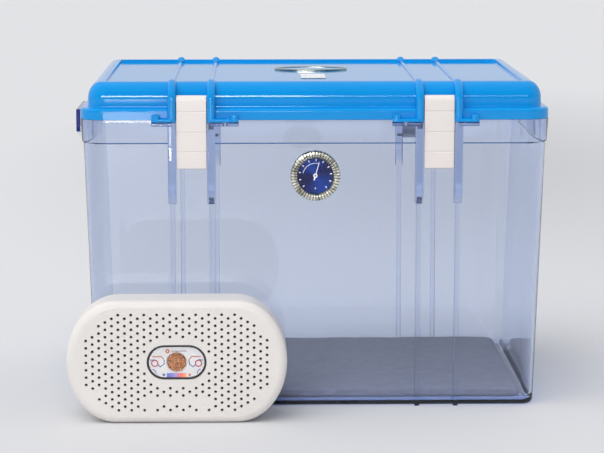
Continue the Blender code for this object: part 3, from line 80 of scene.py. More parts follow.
# Ribs and tabs
RIB_INNER_X = 0.085
RIB_OUTER_X = 0.117
RIB_WIDTH = 0.0068
RIB_FACE = 0.1412
RIB_TOP = RIM - 0.0015
RIB_FOOT = RIM - 0.0592
RIB_SLOPE = 0.010
THIN_RIB_WIDTH = 0.004
THIN_RIB_DEPTH = 0.0022
TAB_TIP_INNER = 0.0625
TAB_TIP_OUTER = 0.1335
TAB_REACH = 0.0073
TAB_THICKNESS = 0.0025
TAB_HOLE_X = 0.0736
TAB_HOLE_RADIUS = 0.0021
BOSS_RADIUS = 0.0036
BOSS_HEIGHT = 0.0056

# Lid
LID_BOTTOM = RIM + GAP
LID_WALL = 0.0024
LID_RIM_TOP = LID_BOTTOM + 0.009
LID_RIM_ROUND = 0.0026
DOME_INSET = 0.0062
DOME_WIDTH = 0.0108
DOME_HEIGHT = 0.014
DOME_BOTTOM = LID_RIM_TOP + 0.0016
DOME_SPRING = DOME_BOTTOM + 0.0055
STRIP_TOP = DOME_SPRING + DOME_HEIGHT
STRIP_INSET = DOME_INSET + DOME_WIDTH
STRIP_WIDTH = 0.0035
PANEL_TOP = STRIP_TOP - 0.0023
LID_RIB_BOTTOM = LID_BOTTOM - 0.0015
RIB_CREST = STRIP_TOP + 0.002

# Latches and hinges
LATCH_X = (RIB_INNER_X + RIB_OUTER_X) / 2
LATCH_AXIS = (-0.1348, LID_RIM_TOP + 0.0065)
HINGE_AXIS = (HALF_Y + 0.0055, LID_BOTTOM)
HINGE_RADIUS = 0.004
LATCH_FOOT = LATCH_LOW[2]
LATCH_FACE = -LATCH_LOW[1]
LATCH_HALF = (LATCH_HIGH[0] - LATCH_LOW[0]) / 2
LATCH_INNER = HALF_Y + GAP
LATCH_BARREL = 0.0045
HOOK_FACE = HALF_Y - BAND_DRAFT * 0.8
PIN_BORE = 0.0018
THROUGH = 0.05

# Side grips
HANDLE_HALF = 0.037
HANDLE_REACH = 0.0098
HANDLE_PLATE = 0.0034
HANDLE_WEB = 0.0024
HANDLE_DROP = 0.0195
HANDLE_GUSSET = 0.0024
GUSSET_DROP = 0.033

# Hygrometer
TILT = math.atan(DRAFT)
GAUGE_Z = RIM - 0.0457
GAUGE_AXIS = Vector((0, -math.cos(TILT), -math.sin(TILT)))
CASE_RADIUS = 0.0172
BEZEL_RADIUS = 0.0204
BEZEL_TOP = 0.0059
WINDOW_RADIUS = 0.01475
NOTCHES = 72
DIAL_FACE = 0.0034 - 0.0019
DIAL_HOLE = 0.0011
DIAL_RADIUS = 0.0159
DIAL_STEP_DEGREES = 26.9
NEEDLE_DEGREES = 16
PRINT_THICKNESS = 0.00006

# The dryer unit
DRYER_X = (DRYER_LOW[0] + DRYER_HIGH[0]) / 2
DRYER_TALL = DRYER_HIGH[2]
DRYER_MIDDLE = DRYER_TALL / 2
DRYER_HALF = (DRYER_HIGH[0] - DRYER_LOW[0]) / 2
DRYER_FRONT = DRYER_LOW[1]
DRYER_SPLIT = DRYER_HIGH[1]
DRYER_WALL = 0.002
DRYER_END = 0.0435
DRYER_ROUND = 0.006
VENT_PITCH = 0.006
VENT_RADIUS = 0.0012
WINDOW_Z = DRYER_MIDDLE + 0.0003
WINDOW_SIZE = (0.0476, 0.0275)
WINDOW_RIM = 0.0012
PORT_RADIUS = 0.0079
SCREW_BORE = 0.00155
PRINT_FACE = DRYER_FRONT + 0.00129
SCALE_HALF = 0.0078
SCALE_HEIGHT = 0.0034
BEAD_PITCH = 0.00175
BEAD_RADIUS = 0.00092

# Studio
CARD_AIM = 0.15

# Margin for picking an edge or a face by its place
NEAR = 0.0001


def wall_inset(height):
    """How far the tub's outer wall stands inside the rim at a height."""
    return BAND_STEP + BAND_DRAFT + DRAFT * max(BAND_BOTTOM - height, 0)


def wall_y(height):
    return HALF_Y - wall_inset(height)


def wall_x(height):
    return HALF_X - wall_inset(height)


# Modelling helpers


def deselect():
    bpy.ops.object.select_all(action="DESELECT")


def quarter(steps, first=1):
    """One minus cosine and one minus sine of each step of a quarter turn."""
    for step in range(first, steps + 1):
        angle = math.pi / 2 * step / steps
        yield 1 - math.cos(angle), 1 - math.sin(angle)


def round_about(middle, radius, start, turn, steps):
    """Points of an arc about a middle, from an angle on through a turn, both in degrees."""
    points = []
    for step in range(steps + 1):
        angle = math.radians(start + turn * step / steps)
        points.append((middle[0] + radius * math.cos(angle), middle[1] + radius * math.sin(angle)))
    return points


def take(piece):
    """Makes one piece the active and only selected one."""
    deselect()
    piece.select_set(True)
    bpy.context.view_layer.objects.active = piece


def name_new(name):
    piece = bpy.context.active_object
    piece.name = piece.data.name = name
    bpy.ops.object.transform_apply(location=True, rotation=True, scale=True)
    return piece


def block(name, low, high):
    """A box between two corners."""
    deselect()
    middle = [(a + b) / 2 for a, b in zip(low, high)]
    size = [b - a for a, b in zip(low, high)]
    bpy.ops.mesh.primitive_cube_add(size=1, location=middle, scale=size)
    return name_new(name)


AXIS_TURN = {"X": (0, math.pi / 2, 0), "Y": (math.pi / 2, 0, 0), "Z": (0, 0, 0)}


def rod(name, middle, radius, length, axis="Z", sides=32):
    deselect()
    bpy.ops.mesh.primitive_cylinder_add(
        vertices=sides, radius=radius, depth=length, location=middle, rotation=AXIS_TURN[axis]
    )
    return name_new(name)


def edit(piece, kind="FACE"):
    """Edit mode with nothing selected."""
    take(piece)
    bpy.ops.object.mode_set(mode="EDIT")
    bpy.ops.mesh.select_mode(type=kind)
    bpy.ops.mesh.select_all(action="DESELECT")


def leave():
    bpy.ops.object.mode_set(mode="OBJECT")


def pick(piece, kind, test):
    """Selects the elements whose middle passes a test, in edit mode. Kind is verts, edges or faces."""
    mesh = bmesh.from_edit_mesh(piece.data)
    for element in getattr(mesh, kind):
        points = [element.co] if kind == "verts" else [vertex.co for vertex in element.verts]
        middle = sum(points, Vector()) / len(points)
        if test(element, middle):
            element.select_set(True)
    bmesh.update_edit_mesh(piece.data)


def is_upright(edge, at):
    return abs(edge.verts[0].co.z - edge.verts[1].co.z) > 0.001


def runs_across(edge):
    """Whether an edge goes from one side of a prism along X to the other."""
    return abs(edge.verts[0].co.x - edge.verts[1].co.x) > 0.001


def bevel_where(piece, test, width, segments=3, profile=0.5):
    edit(piece, "EDGE")
    pick(piece, "edges", test)
    bpy.ops.mesh.bevel(offset=width, segments=segments, profile=profile, affect="EDGES")
    leave()


def draw(name, points):
    """An outline drawn point by point, left selected in edit mode."""
    deselect()
    bpy.ops.mesh.primitive_plane_add(size=0.001, location=points[0])
    piece = name_new(name)
    edit(piece, "VERT")
    bpy.ops.mesh.select_all(action="SELECT")
    bpy.ops.mesh.merge(type="CENTER")
    for before, after in zip(points, points[1:]):
        step = Vector(after) - Vector(before)
        bpy.ops.mesh.extrude_vertices_move(TRANSFORM_OT_translate={"value": step})
    bpy.ops.mesh.select_all(action="SELECT")
    return piece


def prism(name, points, length):
    """A drawn outline, filled and extruded."""
    piece = draw(name, points)
    bpy.ops.mesh.edge_face_add()
    bpy.ops.mesh.select_mode(type="FACE")
    bpy.ops.mesh.extrude_region_move(TRANSFORM_OT_translate={"value": length})
    bpy.ops.mesh.select_all(action="SELECT")
    bpy.ops.mesh.normals_make_consistent(inside=False)
    leave()
    return piece


def cross_prism(name, outline, start, end):
    """A prism along X from an outline of Y and Z."""
    return prism(name, [(start, y, z) for y, z in outline], (end - start, 0, 0))


def turn_round(name, points, middle, axis, steps=64):
    """A closed outline spun into a ring or a disc."""
    piece = draw(name, list(points) + [points[0]])
    bpy.ops.mesh.remove_doubles(threshold=1e-6)
    bpy.ops.mesh.spin(steps=steps, angle=math.tau, center=middle, axis=axis)
    bpy.ops.mesh.select_all(action="SELECT")
    bpy.ops.mesh.remove_doubles(threshold=1e-6)
    bpy.ops.mesh.dissolve_degenerate(threshold=1e-7)
    bpy.ops.mesh.normals_make_consistent(inside=False)
    leave()
    return piece


def modify(piece, kind, **settings):
    """Adds a modifier and applies it."""
    take(piece)
    modifier = piece.modifiers.new(kind.title(), kind)
    for key, value in settings.items():
        setattr(modifier, key, value)
    bpy.ops.object.modifier_apply(modifier=modifier.name)


def combine(piece, others, operation="UNION"):
    """Adds other shapes to a piece, or cuts them from it, and removes them."""
    for other in others:
        modify(piece, "BOOLEAN", operation=operation, object=other)
        bpy.data.objects.remove(other, do_unlink=True)


def join(pieces):
    """Several shapes as one object."""
    take(pieces[0])
    for piece in pieces[1:]:
        piece.select_set(True)
    bpy.ops.object.join()
    return pieces[0]


def copy_at(piece, offset, name):
    """A copy with its own mesh, moved by its vertices."""
    twin = piece.copy()
    twin.data = piece.data.copy()
    twin.name = twin.data.name = name
    bpy.context.scene.collection.objects.link(twin)
    twin.data.transform(Matrix.Translation(offset))
    return twin


def smooth(piece, degrees=35, weighted=True):
    take(piece)
    bpy.ops.object.shade_smooth_by_angle(angle=math.radians(degrees))
    if weighted:
        modify(piece, "WEIGHTED_NORMAL", keep_sharp=True, weight=50)


def paint(piece, finish):
    piece.data.materials.clear()
    piece.data.materials.append(finish)


def carry(piece, body, finish, slot, *nodes):
    """Gives a piece its finish and the body it rides on, and hides the frame nodes it stands for."""
    paint(piece, finish)
    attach(piece, body)
    if nodes:
        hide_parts(*nodes)


# Finishes


class Finish:
    """A material and what its nodes are built with."""

    def __init__(self, name):
        self.made = bpy.data.materials.new(name)
        self.made.use_nodes = True
        self.tree = self.made.node_tree
        self.shader = self.tree.nodes["Principled BSDF"]
        self.place = self.node("ShaderNodeTexCoord").outputs["Object"]

    def node(self, kind, **values):
        made = self.tree.nodes.new(kind)
        for key, value in values.items():
            if hasattr(made, key):
                setattr(made, key, value)
            else:
                made.inputs[key.replace("_", " ")].default_value = value
        return made

    def link(self, source, target):
        self.tree.links.new(source, target)

    def noise(self, scale, detail=3.0, roughness=0.5, place=None):
        made = self.node("ShaderNodeTexNoise", Scale=scale, Detail=detail, Roughness=roughness)
        self.link(place or self.place, made.inputs["Vector"])
        return made.outputs["Fac"]

    def spread(self, source, low, high, start=0.3, end=0.7):
        """A value between two others, as its source goes from start to end."""
        made = self.node("ShaderNodeMapRange")
        for key, value in (("From Min", start), ("From Max", end), ("To Min", low), ("To Max", high)):
            made.inputs[key].default_value = value
        self.link(source, made.inputs["Value"])
        return made.outputs["Result"]

    def ramp(self, source, stops):
        made = self.node("ShaderNodeValToRGB")
        elements = made.color_ramp.elements
        while len(elements) < len(stops):
            elements.new(0.5)
        for element, (place, colour) in zip(elements, stops):
            element.position = place
            element.color = (*colour, 1)
        self.link(source, made.inputs["Fac"])
        return made.outputs["Color"]

    def shades(self, source, colour, amount):
        """A colour that gets a little darker and lighter with its source."""
        dark = [max(channel * (1 - amount), 0) for channel in colour]
        light = [min(channel * (1 + amount), 1) for channel in colour]
        return self.ramp(source, ((0.3, dark), (0.7, light)))

    def bump(self, height, distance, strength=1.0, after=None):
        made = self.node("ShaderNodeBump", Strength=strength, Distance=distance)
        self.link(height, made.inputs["Height"])
        if after:
            self.link(after, made.inputs["Normal"])
        return made.outputs["Normal"]

    def set(self, **values):
        """Sets the shader's own sockets, or links what feeds them."""
        for key, value in values.items():
            socket = self.shader.inputs[key.replace("_", " ")]
            if isinstance(value, bpy.types.NodeSocket):
                self.link(value, socket)
            elif isinstance(value, tuple):
                socket.default_value = (*value, 1)
            else:
                socket.default_value = value
        return self


def gloss_plastic(name, colour, roughness=0.2, grain=0.00002, level=0.5):
    """Moulded glossy plastic: faint mottling, small differences in gloss and a very slight ripple."""
    finish = Finish(name)
    cloud = finish.noise(9.0, 2.0)
    ripple = finish.bump(finish.noise(60.0, 2.0), grain * 6, 0.25)
    fine = finish.bump(finish.noise(1800.0, 2.0), grain, 0.3, ripple)
    rough = finish.spread(finish.noise(130.0, 4.0), roughness * 0.85, roughness * 1.2)
    finish.set(
        Base_Color=finish.shades(cloud, colour, 0.04),
        Roughness=rough,
        Normal=fine,
        Specular_IOR_Level=level,
    )
    return finish.made


def satin_plastic(name, colour, roughness=0.42, grain=0.00005):
    """Moulded satin plastic with a fine spark-eroded grain."""
    finish = Finish(name)
    cells = finish.node("ShaderNodeTexVoronoi", Scale=1500.0)
    finish.link(finish.place, cells.inputs["Vector"])
    soft = finish.bump(finish.noise(420.0, 4.0), grain, 0.35)
    finish.set(
        Base_Color=finish.shades(finish.noise(14.0), colour, 0.025),
        Roughness=finish.spread(finish.noise(220.0), roughness * 0.88, roughness * 1.12),
        Normal=finish.bump(cells.outputs["Distance"], grain, 0.4, soft),
    )
    return finish.made


def metal(name, colour, roughness, stretch=(1, 1, 1)):
    """Bare or plated metal with fine marks drawn out along one direction."""
    finish = Finish(name)
    mapping = finish.node("ShaderNodeMapping")
    mapping.inputs["Scale"].default_value = stretch
    finish.link(finish.place, mapping.inputs["Vector"])
    marks = finish.noise(900.0, 4.0, 0.6, mapping.outputs["Vector"])
    finish.set(
        Base_Color=finish.shades(finish.noise(40.0), colour, 0.05),
        Metallic=1.0,
        Roughness=finish.spread(marks, roughness * 0.7, roughness * 1.4),
        Normal=finish.bump(marks, 0.00001, 0.4),
    )
    return finish.made


def clear_plastic(name, tint, absorb=0.0, roughness=0.015, index=1.57):
    """Clear plastic. Its tint deepens with its thickness, and lamps reach through it."""
    finish = Finish(name)
    rough = finish.spread(finish.noise(70.0, 5.0), roughness * 0.5, roughness * 1.8)
    ripple = finish.bump(finish.noise(16.0, 1.0), 0.0002, 0.05)
    finish.set(
        Base_Color=(1.0, 1.0, 1.0),
        Transmission_Weight=1.0,
        IOR=index,
        Roughness=rough,
        Normal=ripple,
    )
    path = finish.node("ShaderNodeLightPath")
    through = finish.node("ShaderNodeBsdfTransparent")
    through.inputs["Color"].default_value = (0.93, 0.94, 0.96, 1)
    mixed = finish.node("ShaderNodeMixShader")
    output = finish.tree.nodes["Material Output"]
    finish.link(path.outputs["Is Shadow Ray"], mixed.inputs["Fac"])
    finish.link(finish.shader.outputs["BSDF"], mixed.inputs[1])
    finish.link(through.outputs["BSDF"], mixed.inputs[2])
    finish.link(mixed.outputs["Shader"], output.inputs["Surface"])
    if absorb:
        volume = finish.node("ShaderNodeVolumeAbsorption")
        volume.inputs["Color"].default_value = (*tint, 1)
        volume.inputs["Density"].default_value = absorb
        finish.link(volume.outputs["Volume"], output.inputs["Volume"])
    return finish.made


def foam_finish(name, colour):
    """Open-cell foam: pores at two sizes, slightly mottled, with a soft sheen."""
    finish = Finish(name)
    cells = finish.node("ShaderNodeTexVoronoi", Scale=900.0)
    finish.link(finish.place, cells.inputs["Vector"])
    pores = finish.bump(cells.outputs["Distance"], 0.0006, 0.7)
    rough = finish.bump(finish.noise(260.0, 6.0), 0.0008, 0.5, pores)
    mottled = finish.noise(120.0, 8.0, 0.7)
    finish.set(
        Base_Color=finish.shades(mottled, colour, 0.22),
        Roughness=0.95,
        Normal=rough,
        Sheen_Weight=0.25,
        Sheen_Roughness=0.5,
        Specular_IOR_Level=0.2,
    )
    return finish.made


def turn_on_dial(finish):
    """The angle round the hygrometer's shaft, from 0 to 1."""
    plane = finish.node("ShaderNodeMapping", vector_type="TEXTURE")
    plane.inputs["Location"].default_value = gauge_point(0, 0, 0)
    plane.inputs["Rotation"].default_value = (math.pi / 2 + TILT, 0, 0)
    finish.link(finish.place, plane.inputs["Vector"])
    turn = finish.node("ShaderNodeTexGradient", gradient_type="RADIAL")
    finish.link(plane.outputs["Vector"], turn.inputs["Vector"])
    return turn.outputs["Fac"]


def sunburst(name, dark, bright):
    """Brushed metallic dial paint with a painted sheen: two brighter sectors round its centre, painted
    highlights where the brushing would catch the light.
    """
    finish = Finish(name)
    turn = turn_on_dial(finish)
    # Painted highlights: the blue turns brighter in two sectors round the dial's centre.
    painted_sheen_lobes = finish.ramp(turn, ((0.10, dark), (0.344, bright), (0.58, dark), (0.828, bright), (1.0, dark)))
    marks = finish.node("ShaderNodeTexNoise", noise_dimensions="1D", Scale=260.0, Detail=3.0)
    finish.link(turn, marks.inputs["W"])
    finish.set(
        Base_Color=painted_sheen_lobes,
        Specular_IOR_Level=0.15,
        Roughness=finish.spread(marks.outputs["Fac"], 0.25, 0.5),
        Normal=finish.bump(marks.outputs["Fac"], 0.00001, 0.5),
    )
    return finish.made


def scale_print(name, low, high, stops):
    """A printed band whose colour changes from its left end to its right end."""
    finish = Finish(name)
    parts = finish.node("ShaderNodeSeparateXYZ")
    finish.link(finish.place, parts.inputs["Vector"])
    along = finish.spread(parts.outputs["X"], 0.0, 1.0, low, high)
    rough = finish.spread(finish.noise(300.0), 0.4, 0.6)
    finish.set(Base_Color=finish.ramp(along, stops), Roughness=rough)
    return finish.made


def label_print(name, paper, ink):
    """White label with small grey marks that form no letters."""
    finish = Finish(name)
    stretched = finish.node("ShaderNodeMapping")
    stretched.inputs["Scale"].default_value = (900.0, 330.0, 1.0)
    finish.link(finish.place, stretched.inputs["Vector"])
    marks = finish.noise(1.0, 1.0, 0.5, stretched.outputs["Vector"])
    finish.set(
        Base_Color=finish.ramp(marks, ((0.60, paper), (0.66, ink))),
        Roughness=finish.spread(finish.noise(200.0), 0.35, 0.5),
    )
    return finish.made


def woven(name, colour, scale, depth):
    """Fine weave: two crossed bands and a little mottling."""
    finish = Finish(name)
    across = finish.node("ShaderNodeTexWave", Scale=scale, bands_direction="X")
    along = finish.node("ShaderNodeTexWave", Scale=scale, bands_direction="Z")
    for bands in (across, along):
        finish.link(finish.place, bands.inputs["Vector"])
    threads = finish.node("ShaderNodeMath", operation="MULTIPLY")
    finish.link(across.outputs["Fac"], threads.inputs[0])
    finish.link(along.outputs["Fac"], threads.inputs[1])
    finish.set(
        Base_Color=finish.shades(threads.outputs["Value"], colour, 0.35),
        Roughness=finish.spread(finish.noise(150.0), 0.6, 0.85),
        Normal=finish.bump(threads.outputs["Value"], depth, 0.6),
    )
    return finish.made


def bead_gel(name, colour):
    """Indicator beads: glassy orange-brown gel, each bead a slightly different shade."""
    finish = Finish(name)
    finish.set(
        Base_Color=finish.shades(finish.noise(420.0, 2.0), colour, 0.35),
        Roughness=finish.spread(finish.noise(600.0), 0.15, 0.4),
        Subsurface_Weight=0.25,
        Subsurface_Scale=0.001,
        Normal=finish.bump(finish.noise(1600.0), 0.00003, 0.3),
    )
    return finish.made


def notched_plate(name, bright, dark):
    """Plated ring with fine dark notches all the way round: painted shade in the notches, and painted
    reflections as brighter and darker areas between, where the gloss varies too.
    """
    finish = Finish(name)
    turn = turn_on_dial(finish)
    teeth = finish.node("ShaderNodeMath", operation="MULTIPLY")
    teeth.inputs[1].default_value = 48.0
    finish.link(turn, teeth.inputs[0])
    step = finish.node("ShaderNodeMath", operation="FRACT")
    finish.link(teeth.outputs["Value"], step.inputs[0])
    # Painted reflections: bright and dark areas in the plating's colour, which also set its roughness.
    painted_reflection_and_gloss = finish.noise(170.0, 3.0, 0.6)
    mixed = finish.node("ShaderNodeMix", data_type="RGBA", blend_type="MULTIPLY")
    mixed.inputs["Factor"].default_value = 1.0
    # Painted shade: a dark stripe at each step of the turn, standing for the notches.
    notches = finish.ramp(step.outputs["Value"], ((0.30, dark), (0.42, (1, 1, 1))))
    finish.link(finish.ramp(painted_reflection_and_gloss, ((0.36, dark), (0.56, bright))), mixed.inputs["A"])
    finish.link(notches, mixed.inputs["B"])
    finish.set(
        Base_Color=mixed.outputs["Result"],
        Metallic=1.0,
        Roughness=finish.spread(painted_reflection_and_gloss, 0.12, 0.3),
        Normal=finish.bump(step.outputs["Value"], 0.0001, 0.3),
    )
    return finish.made


TUB_PLASTIC = clear_plastic("violet_clear_plastic", (0.22, 0.42, 0.80), 90.0)
# An index below real plastic's, so that the print behind the panes stays clear of reflections
CLEAR_PANE = clear_plastic("coated_clear_pane", (1, 1, 1), 0.0, 0.01, 1.22)
LID_BLUE = gloss_plastic("lid_blue_plastic", (0.0, 0.29, 0.74), 0.08, level=0.4)
IVORY = satin_plastic("ivory_plastic", (0.80, 0.765, 0.735))
LATCH_IVORY = satin_plastic("latch_ivory_plastic", (0.83, 0.77, 0.74), 0.36)
FOAM = foam_finish("grey_foam", (0.16, 0.16, 0.20))
BLACK = satin_plastic("black_plastic", (0.02, 0.02, 0.022), 0.35)
BADGE_METAL = metal("badge_metal", (0.50, 0.52, 0.42), 0.22)
STEEL = metal("pin_steel", (0.55, 0.55, 0.57), 0.3, (1, 8, 8))
BRASS = metal("brass", (0.78, 0.58, 0.26), 0.28)
ALUMINIUM = metal("heater_aluminium", (0.75, 0.76, 0.78), 0.35, (1, 1, 12))
RUBBER = satin_plastic("grey_rubber", (0.10, 0.10, 0.11), 0.7, 0.0001)
# The card and its inks are darker than real ones, to stay under white in this light
WHITE = satin_plastic("white_card", (0.56, 0.55, 0.56), 0.5, 0.00001)
DIAL_WHITE = satin_plastic("white_dial_paint", (0.95, 0.96, 0.98), 0.4, 0.00001)
PRINT_RED = satin_plastic("red_print", (0.34, 0.02, 0.04), 0.5, 0.00001)
PRINT_ORANGE = satin_plastic("orange_print", (0.45, 0.09, 0.03), 0.5, 0.00001)
PRINT_BLUE = satin_plastic("blue_print", (0.03, 0.05, 0.24), 0.5, 0.00001)
PRINT_GREY = satin_plastic("grey_print", (0.35, 0.33, 0.34), 0.5, 0.00001)
BOARD = satin_plastic("circuit_board", (0.02, 0.16, 0.07), 0.35, 0.00008)
DUST_MESH = woven("dark_dust_mesh", (0.03, 0.028, 0.027), 900.0, 0.0001)
BEAD_CLOTH = woven("bead_pack_cloth", (0.62, 0.58, 0.50), 500.0, 0.0002)
BEADS = bead_gel("orange_bead_gel", (0.42, 0.19, 0.09))
STICKER_PRINT = label_print("sticker_print", (0.86, 0.88, 0.90), (0.30, 0.33, 0.38))


def make_tub():
    """Walls, floor, rim band and lip, from the rim ring down, then up and inside."""
    tub = block("clear_tub", (-HALF_X, -HALF_Y, RIM - 0.002), (HALF_X, HALF_Y, RIM))
    bevel_where(tub, is_upright, CORNER, CORNER_STEPS)
    edit(tub)
    pick(tub, "faces", lambda face, at: face.normal.z < -0.9)
    foot = wall_inset(BASE_ROUND)
    base = [(foot, BASE_ROUND)]
    base += [(foot + BASE_ROUND * inward, BASE_ROUND * left) for inward, left in quarter(6)]
    steps = [(BAND_DRAFT, BAND_BOTTOM + BAND_STEP), (wall_inset(BAND_BOTTOM), BAND_BOTTOM), *base]
    carry_on((0, RIM - 0.002), steps)
    bpy.ops.mesh.select_all(action="DESELECT")
    pick(tub, "faces", lambda face, at: face.normal.z > 0.9 and at.z > RIM - NEAR)
    inner = BASE_ROUND + WALL
    inner_foot = wall_inset(FLOOR + inner) + WALL
    inside = [(inner_foot, FLOOR + inner)]
    inside += [(inner_foot + inner * 0.9 * inward, FLOOR + inner * left) for inward, left in quarter(6)]
    edge = LIP_INSET + LIP_WIDTH
    steps = [(LIP_INSET, RIM), (LIP_INSET, LIP_TOP), (edge, LIP_TOP), (edge, BAND_BOTTOM), *inside]
    carry_on((0, RIM), steps)
    leave()
    return tub


def carry_on(start, steps):
    """Extrudes or insets the selected end face through pairs of total inset and height."""
    inset, height = start
    for next_inset, next_height in steps:
        if next_inset > inset + 1e-6:
            bpy.ops.mesh.inset(thickness=next_inset - inset, depth=0)
        else:
            bpy.ops.mesh.extrude_region_move()
        if abs(next_height - height) > 1e-7:
            bpy.ops.transform.translate(value=(0, 0, next_height - height))
        inset, height = next_inset, next_height


def front_ribs(end):
    """Outline side and middle of the ribs at one end of the box."""
    return [(side, end * x) for side in (FRONT, BACK) for x in (RIB_INNER_X, RIB_OUTER_X)]


def make_thick_rib(side, middle):
    """A clear rib beside a latch or hinge, with rounded edges and a slanted lower end."""
    top = RIB_TOP - GAP if side == FRONT else HINGE_AXIS[1] - HINGE_RADIUS - GAP
    slope_end = RIB_FOOT - RIB_SLOPE
    outline = [
        (side * (wall_y(slope_end) - WALL / 2), slope_end),
        (side * (wall_y(slope_end) + THIN_RIB_DEPTH), slope_end),
        (side * (RIB_FACE - 0.0006), RIB_FOOT),
        (side * RIB_FACE, RIB_FOOT + 0.012),
        (side * RIB_FACE, top),
        (side * (wall_y(BAND_BOTTOM) - WALL / 2), top),
        (side * (wall_y(BAND_BOTTOM) - WALL / 2), BAND_BOTTOM),
    ]
    rib = cross_prism("thick_rib", outline, middle - RIB_WIDTH / 2, middle + RIB_WIDTH / 2)
    outer = wall_y(slope_end) + 0.001

    def long_front_edge(edge, at):
        nearest = min(abs(vertex.co.y) for vertex in edge.verts)
        return not runs_across(edge) and nearest > outer and at.z < top - NEAR

    bevel_where(rib, long_front_edge, 0.0013, 4)
    return rib


def make_thin_rib(side, middle):
    """The thin rib that runs from a thick one down to a small foot on the floor."""
    slope_end = RIB_FOOT - RIB_SLOPE
    outline = [
        (side * (wall_y(0) - BASE_ROUND), 0),
        (side * (wall_y(0) + THIN_RIB_DEPTH), 0),
        (side * (wall_y(0) + THIN_RIB_DEPTH + 0.0002), 0.004),
        (side * (wall_y(slope_end) + THIN_RIB_DEPTH - 0.0001), slope_end + 0.001),
        (side * (wall_y(slope_end) - WALL / 2), slope_end + 0.001),
        (side * (wall_y(BASE_ROUND) - WALL / 2), BASE_ROUND + 0.001),
    ]
    rib = cross_prism("thin_rib", outline, middle - THIN_RIB_WIDTH / 2, middle + THIN_RIB_WIDTH / 2)
    outer = wall_y(0) + THIN_RIB_DEPTH / 2

    def long_front_edge(edge, at):
        return not runs_across(edge) and min(abs(vertex.co.y) for vertex in edge.verts) > outer

    bevel_where(rib, long_front_edge, 0.0009, 3)
    return rib


def tab_spans():
    """Near and far end and boss of each tie tab, from the box's middle outwards."""
    return (
        (TAB_TIP_INNER, RIB_INNER_X, TAB_TIP_INNER + BOSS_RADIUS),
        (RIB_OUTER_X, TAB_TIP_OUTER, TAB_TIP_OUTER - BOSS_RADIUS),
    )


def make_clear_tabs():
    """Clear tabs and latch ledges on the tub's front."""
    shapes = []
    top = RIB_TOP - GAP
    for end in (LEFT, RIGHT):
        for near, far, _ in tab_spans():
            low_x, high_x = sorted((end * near, end * far))
            tab = block(
                "tab",
                (low_x, -(HALF_Y + TAB_REACH), top - TAB_THICKNESS),
                (high_x, -(HALF_Y - WALL / 2 - 0.001), top),
            )
            bevel_where(tab, lambda edge, at: at.y < -(HALF_Y + TAB_REACH - NEAR), 0.0006, 2)
            shapes.append(tab)
    return shapes


def make_catches():
    """The ledge under each latch's hook, between its ribs."""
    shapes = []
    for end in (LEFT, RIGHT):
        middle = end * LATCH_X
        half = (RIB_OUTER_X - RIB_INNER_X) / 2
        face = HOOK_FACE + 0.0004
        low = (middle - half, -face, BAND_BOTTOM)
        high = (middle + half, -(wall_y(BAND_BOTTOM) - WALL / 2), BAND_BOTTOM + 0.004)
        shapes.append(block("catch", low, high))
    return shapes


def make_handle(end):
    """A side grip: a web, a hanging plate and a gusset at each end."""
    top = RIM - GAP
    reach = HALF_X + HANDLE_REACH
    root = wall_x(top) - WALL / 2
    grip = [
        (root, top),
        (reach, top),
        (reach, top - HANDLE_DROP),
        (reach - HANDLE_PLATE, top - HANDLE_DROP),
        (reach - HANDLE_PLATE, top - HANDLE_WEB),
        (root, top - HANDLE_WEB),
    ]
    body = prism("grip", [(end * x, -HANDLE_HALF, z) for x, z in grip], (0, 2 * HANDLE_HALF, 0))
    bevel_where(body, lambda edge, at: abs(at.x) > reach - NEAR and abs(at.y) < 0.001, 0.0008, 3)
    foot = top - GUSSET_DROP
    gusset = [(wall_x(foot) - WALL / 2, foot), (root, top - 0.0002)]
    gusset += [(reach - 0.0002, top - 0.0002), (reach - 0.0002, top - HANDLE_DROP + 0.0004)]
    gussets = []
    for start in (-HANDLE_HALF + 0.0002, HANDLE_HALF - HANDLE_GUSSET - 0.0002):
        points = [(end * x, start, z) for x, z in gusset]
        gussets.append(prism("gusset", points, (0, HANDLE_GUSSET, 0)))
    combine(body, gussets)
    return body


def gauge_point(radius_x, radius_z, out):
    """A point in the hygrometer's own plane, out along its shaft from the wall's face."""
    normal = Vector((0, -math.cos(TILT), -math.sin(TILT)))
    up = Vector((0, -math.sin(TILT), math.cos(TILT)))
    middle = Vector((0, -wall_y(GAUGE_Z), GAUGE_Z))
    return middle + radius_x * Vector((1, 0, 0)) + radius_z * up + out * normal


def gauge_ring(name, outline, steps=64):
    """A turned piece of the hygrometer, from an outline of radius and height over the wall."""
    points = [tuple(gauge_point(radius, 0, out)) for radius, out in outline]
    return turn_round(name, points, tuple(gauge_point(0, 0, 0)), tuple(GAUGE_AXIS), steps)


def tie_holes(height):
    return [
        rod("tie_hole", (end * TAB_HOLE_X, -(HALF_Y + TAB_REACH / 2), RIM), TAB_HOLE_RADIUS, height, "Z", 20)
        for end in (LEFT, RIGHT)
    ]


def finish_tub():
    tub = make_tub()
    thick = [make_thick_rib(side, x) for end in (LEFT, RIGHT) for side, x in front_ribs(end)]
    thin = [make_thin_rib(side, x) for end in (LEFT, RIGHT) for side, x in front_ribs(end)]
    for shapes in (thick, thin, make_clear_tabs(), make_catches()):
        combine(tub, [join(shapes)])
    combine(tub, [make_handle(LEFT), make_handle(RIGHT)])
    hole = gauge_ring(
        "gauge_hole",
        [(0.0001, -0.01), (CASE_RADIUS + GAP, -0.01), (CASE_RADIUS + GAP, 0.01), (0.0001, 0.01)],
    )
    combine(tub, [hole, *tie_holes(0.012)], "DIFFERENCE")
    smooth(tub, 30)
    carry(tub, "root", TUB_PLASTIC, "clear_tub", "box_body")


def shoulder(thickness, steps=10):
    """The lid's rounded shoulder as inset and height, offset inwards by a thickness."""
    points = []
    for step in range(steps + 1):
        angle = math.pi / 2 * step / steps
        inset = STRIP_INSET - (DOME_WIDTH - thickness) * math.cos(angle)
        points.append((inset, DOME_SPRING + (DOME_HEIGHT - thickness) * math.sin(angle)))
    return points


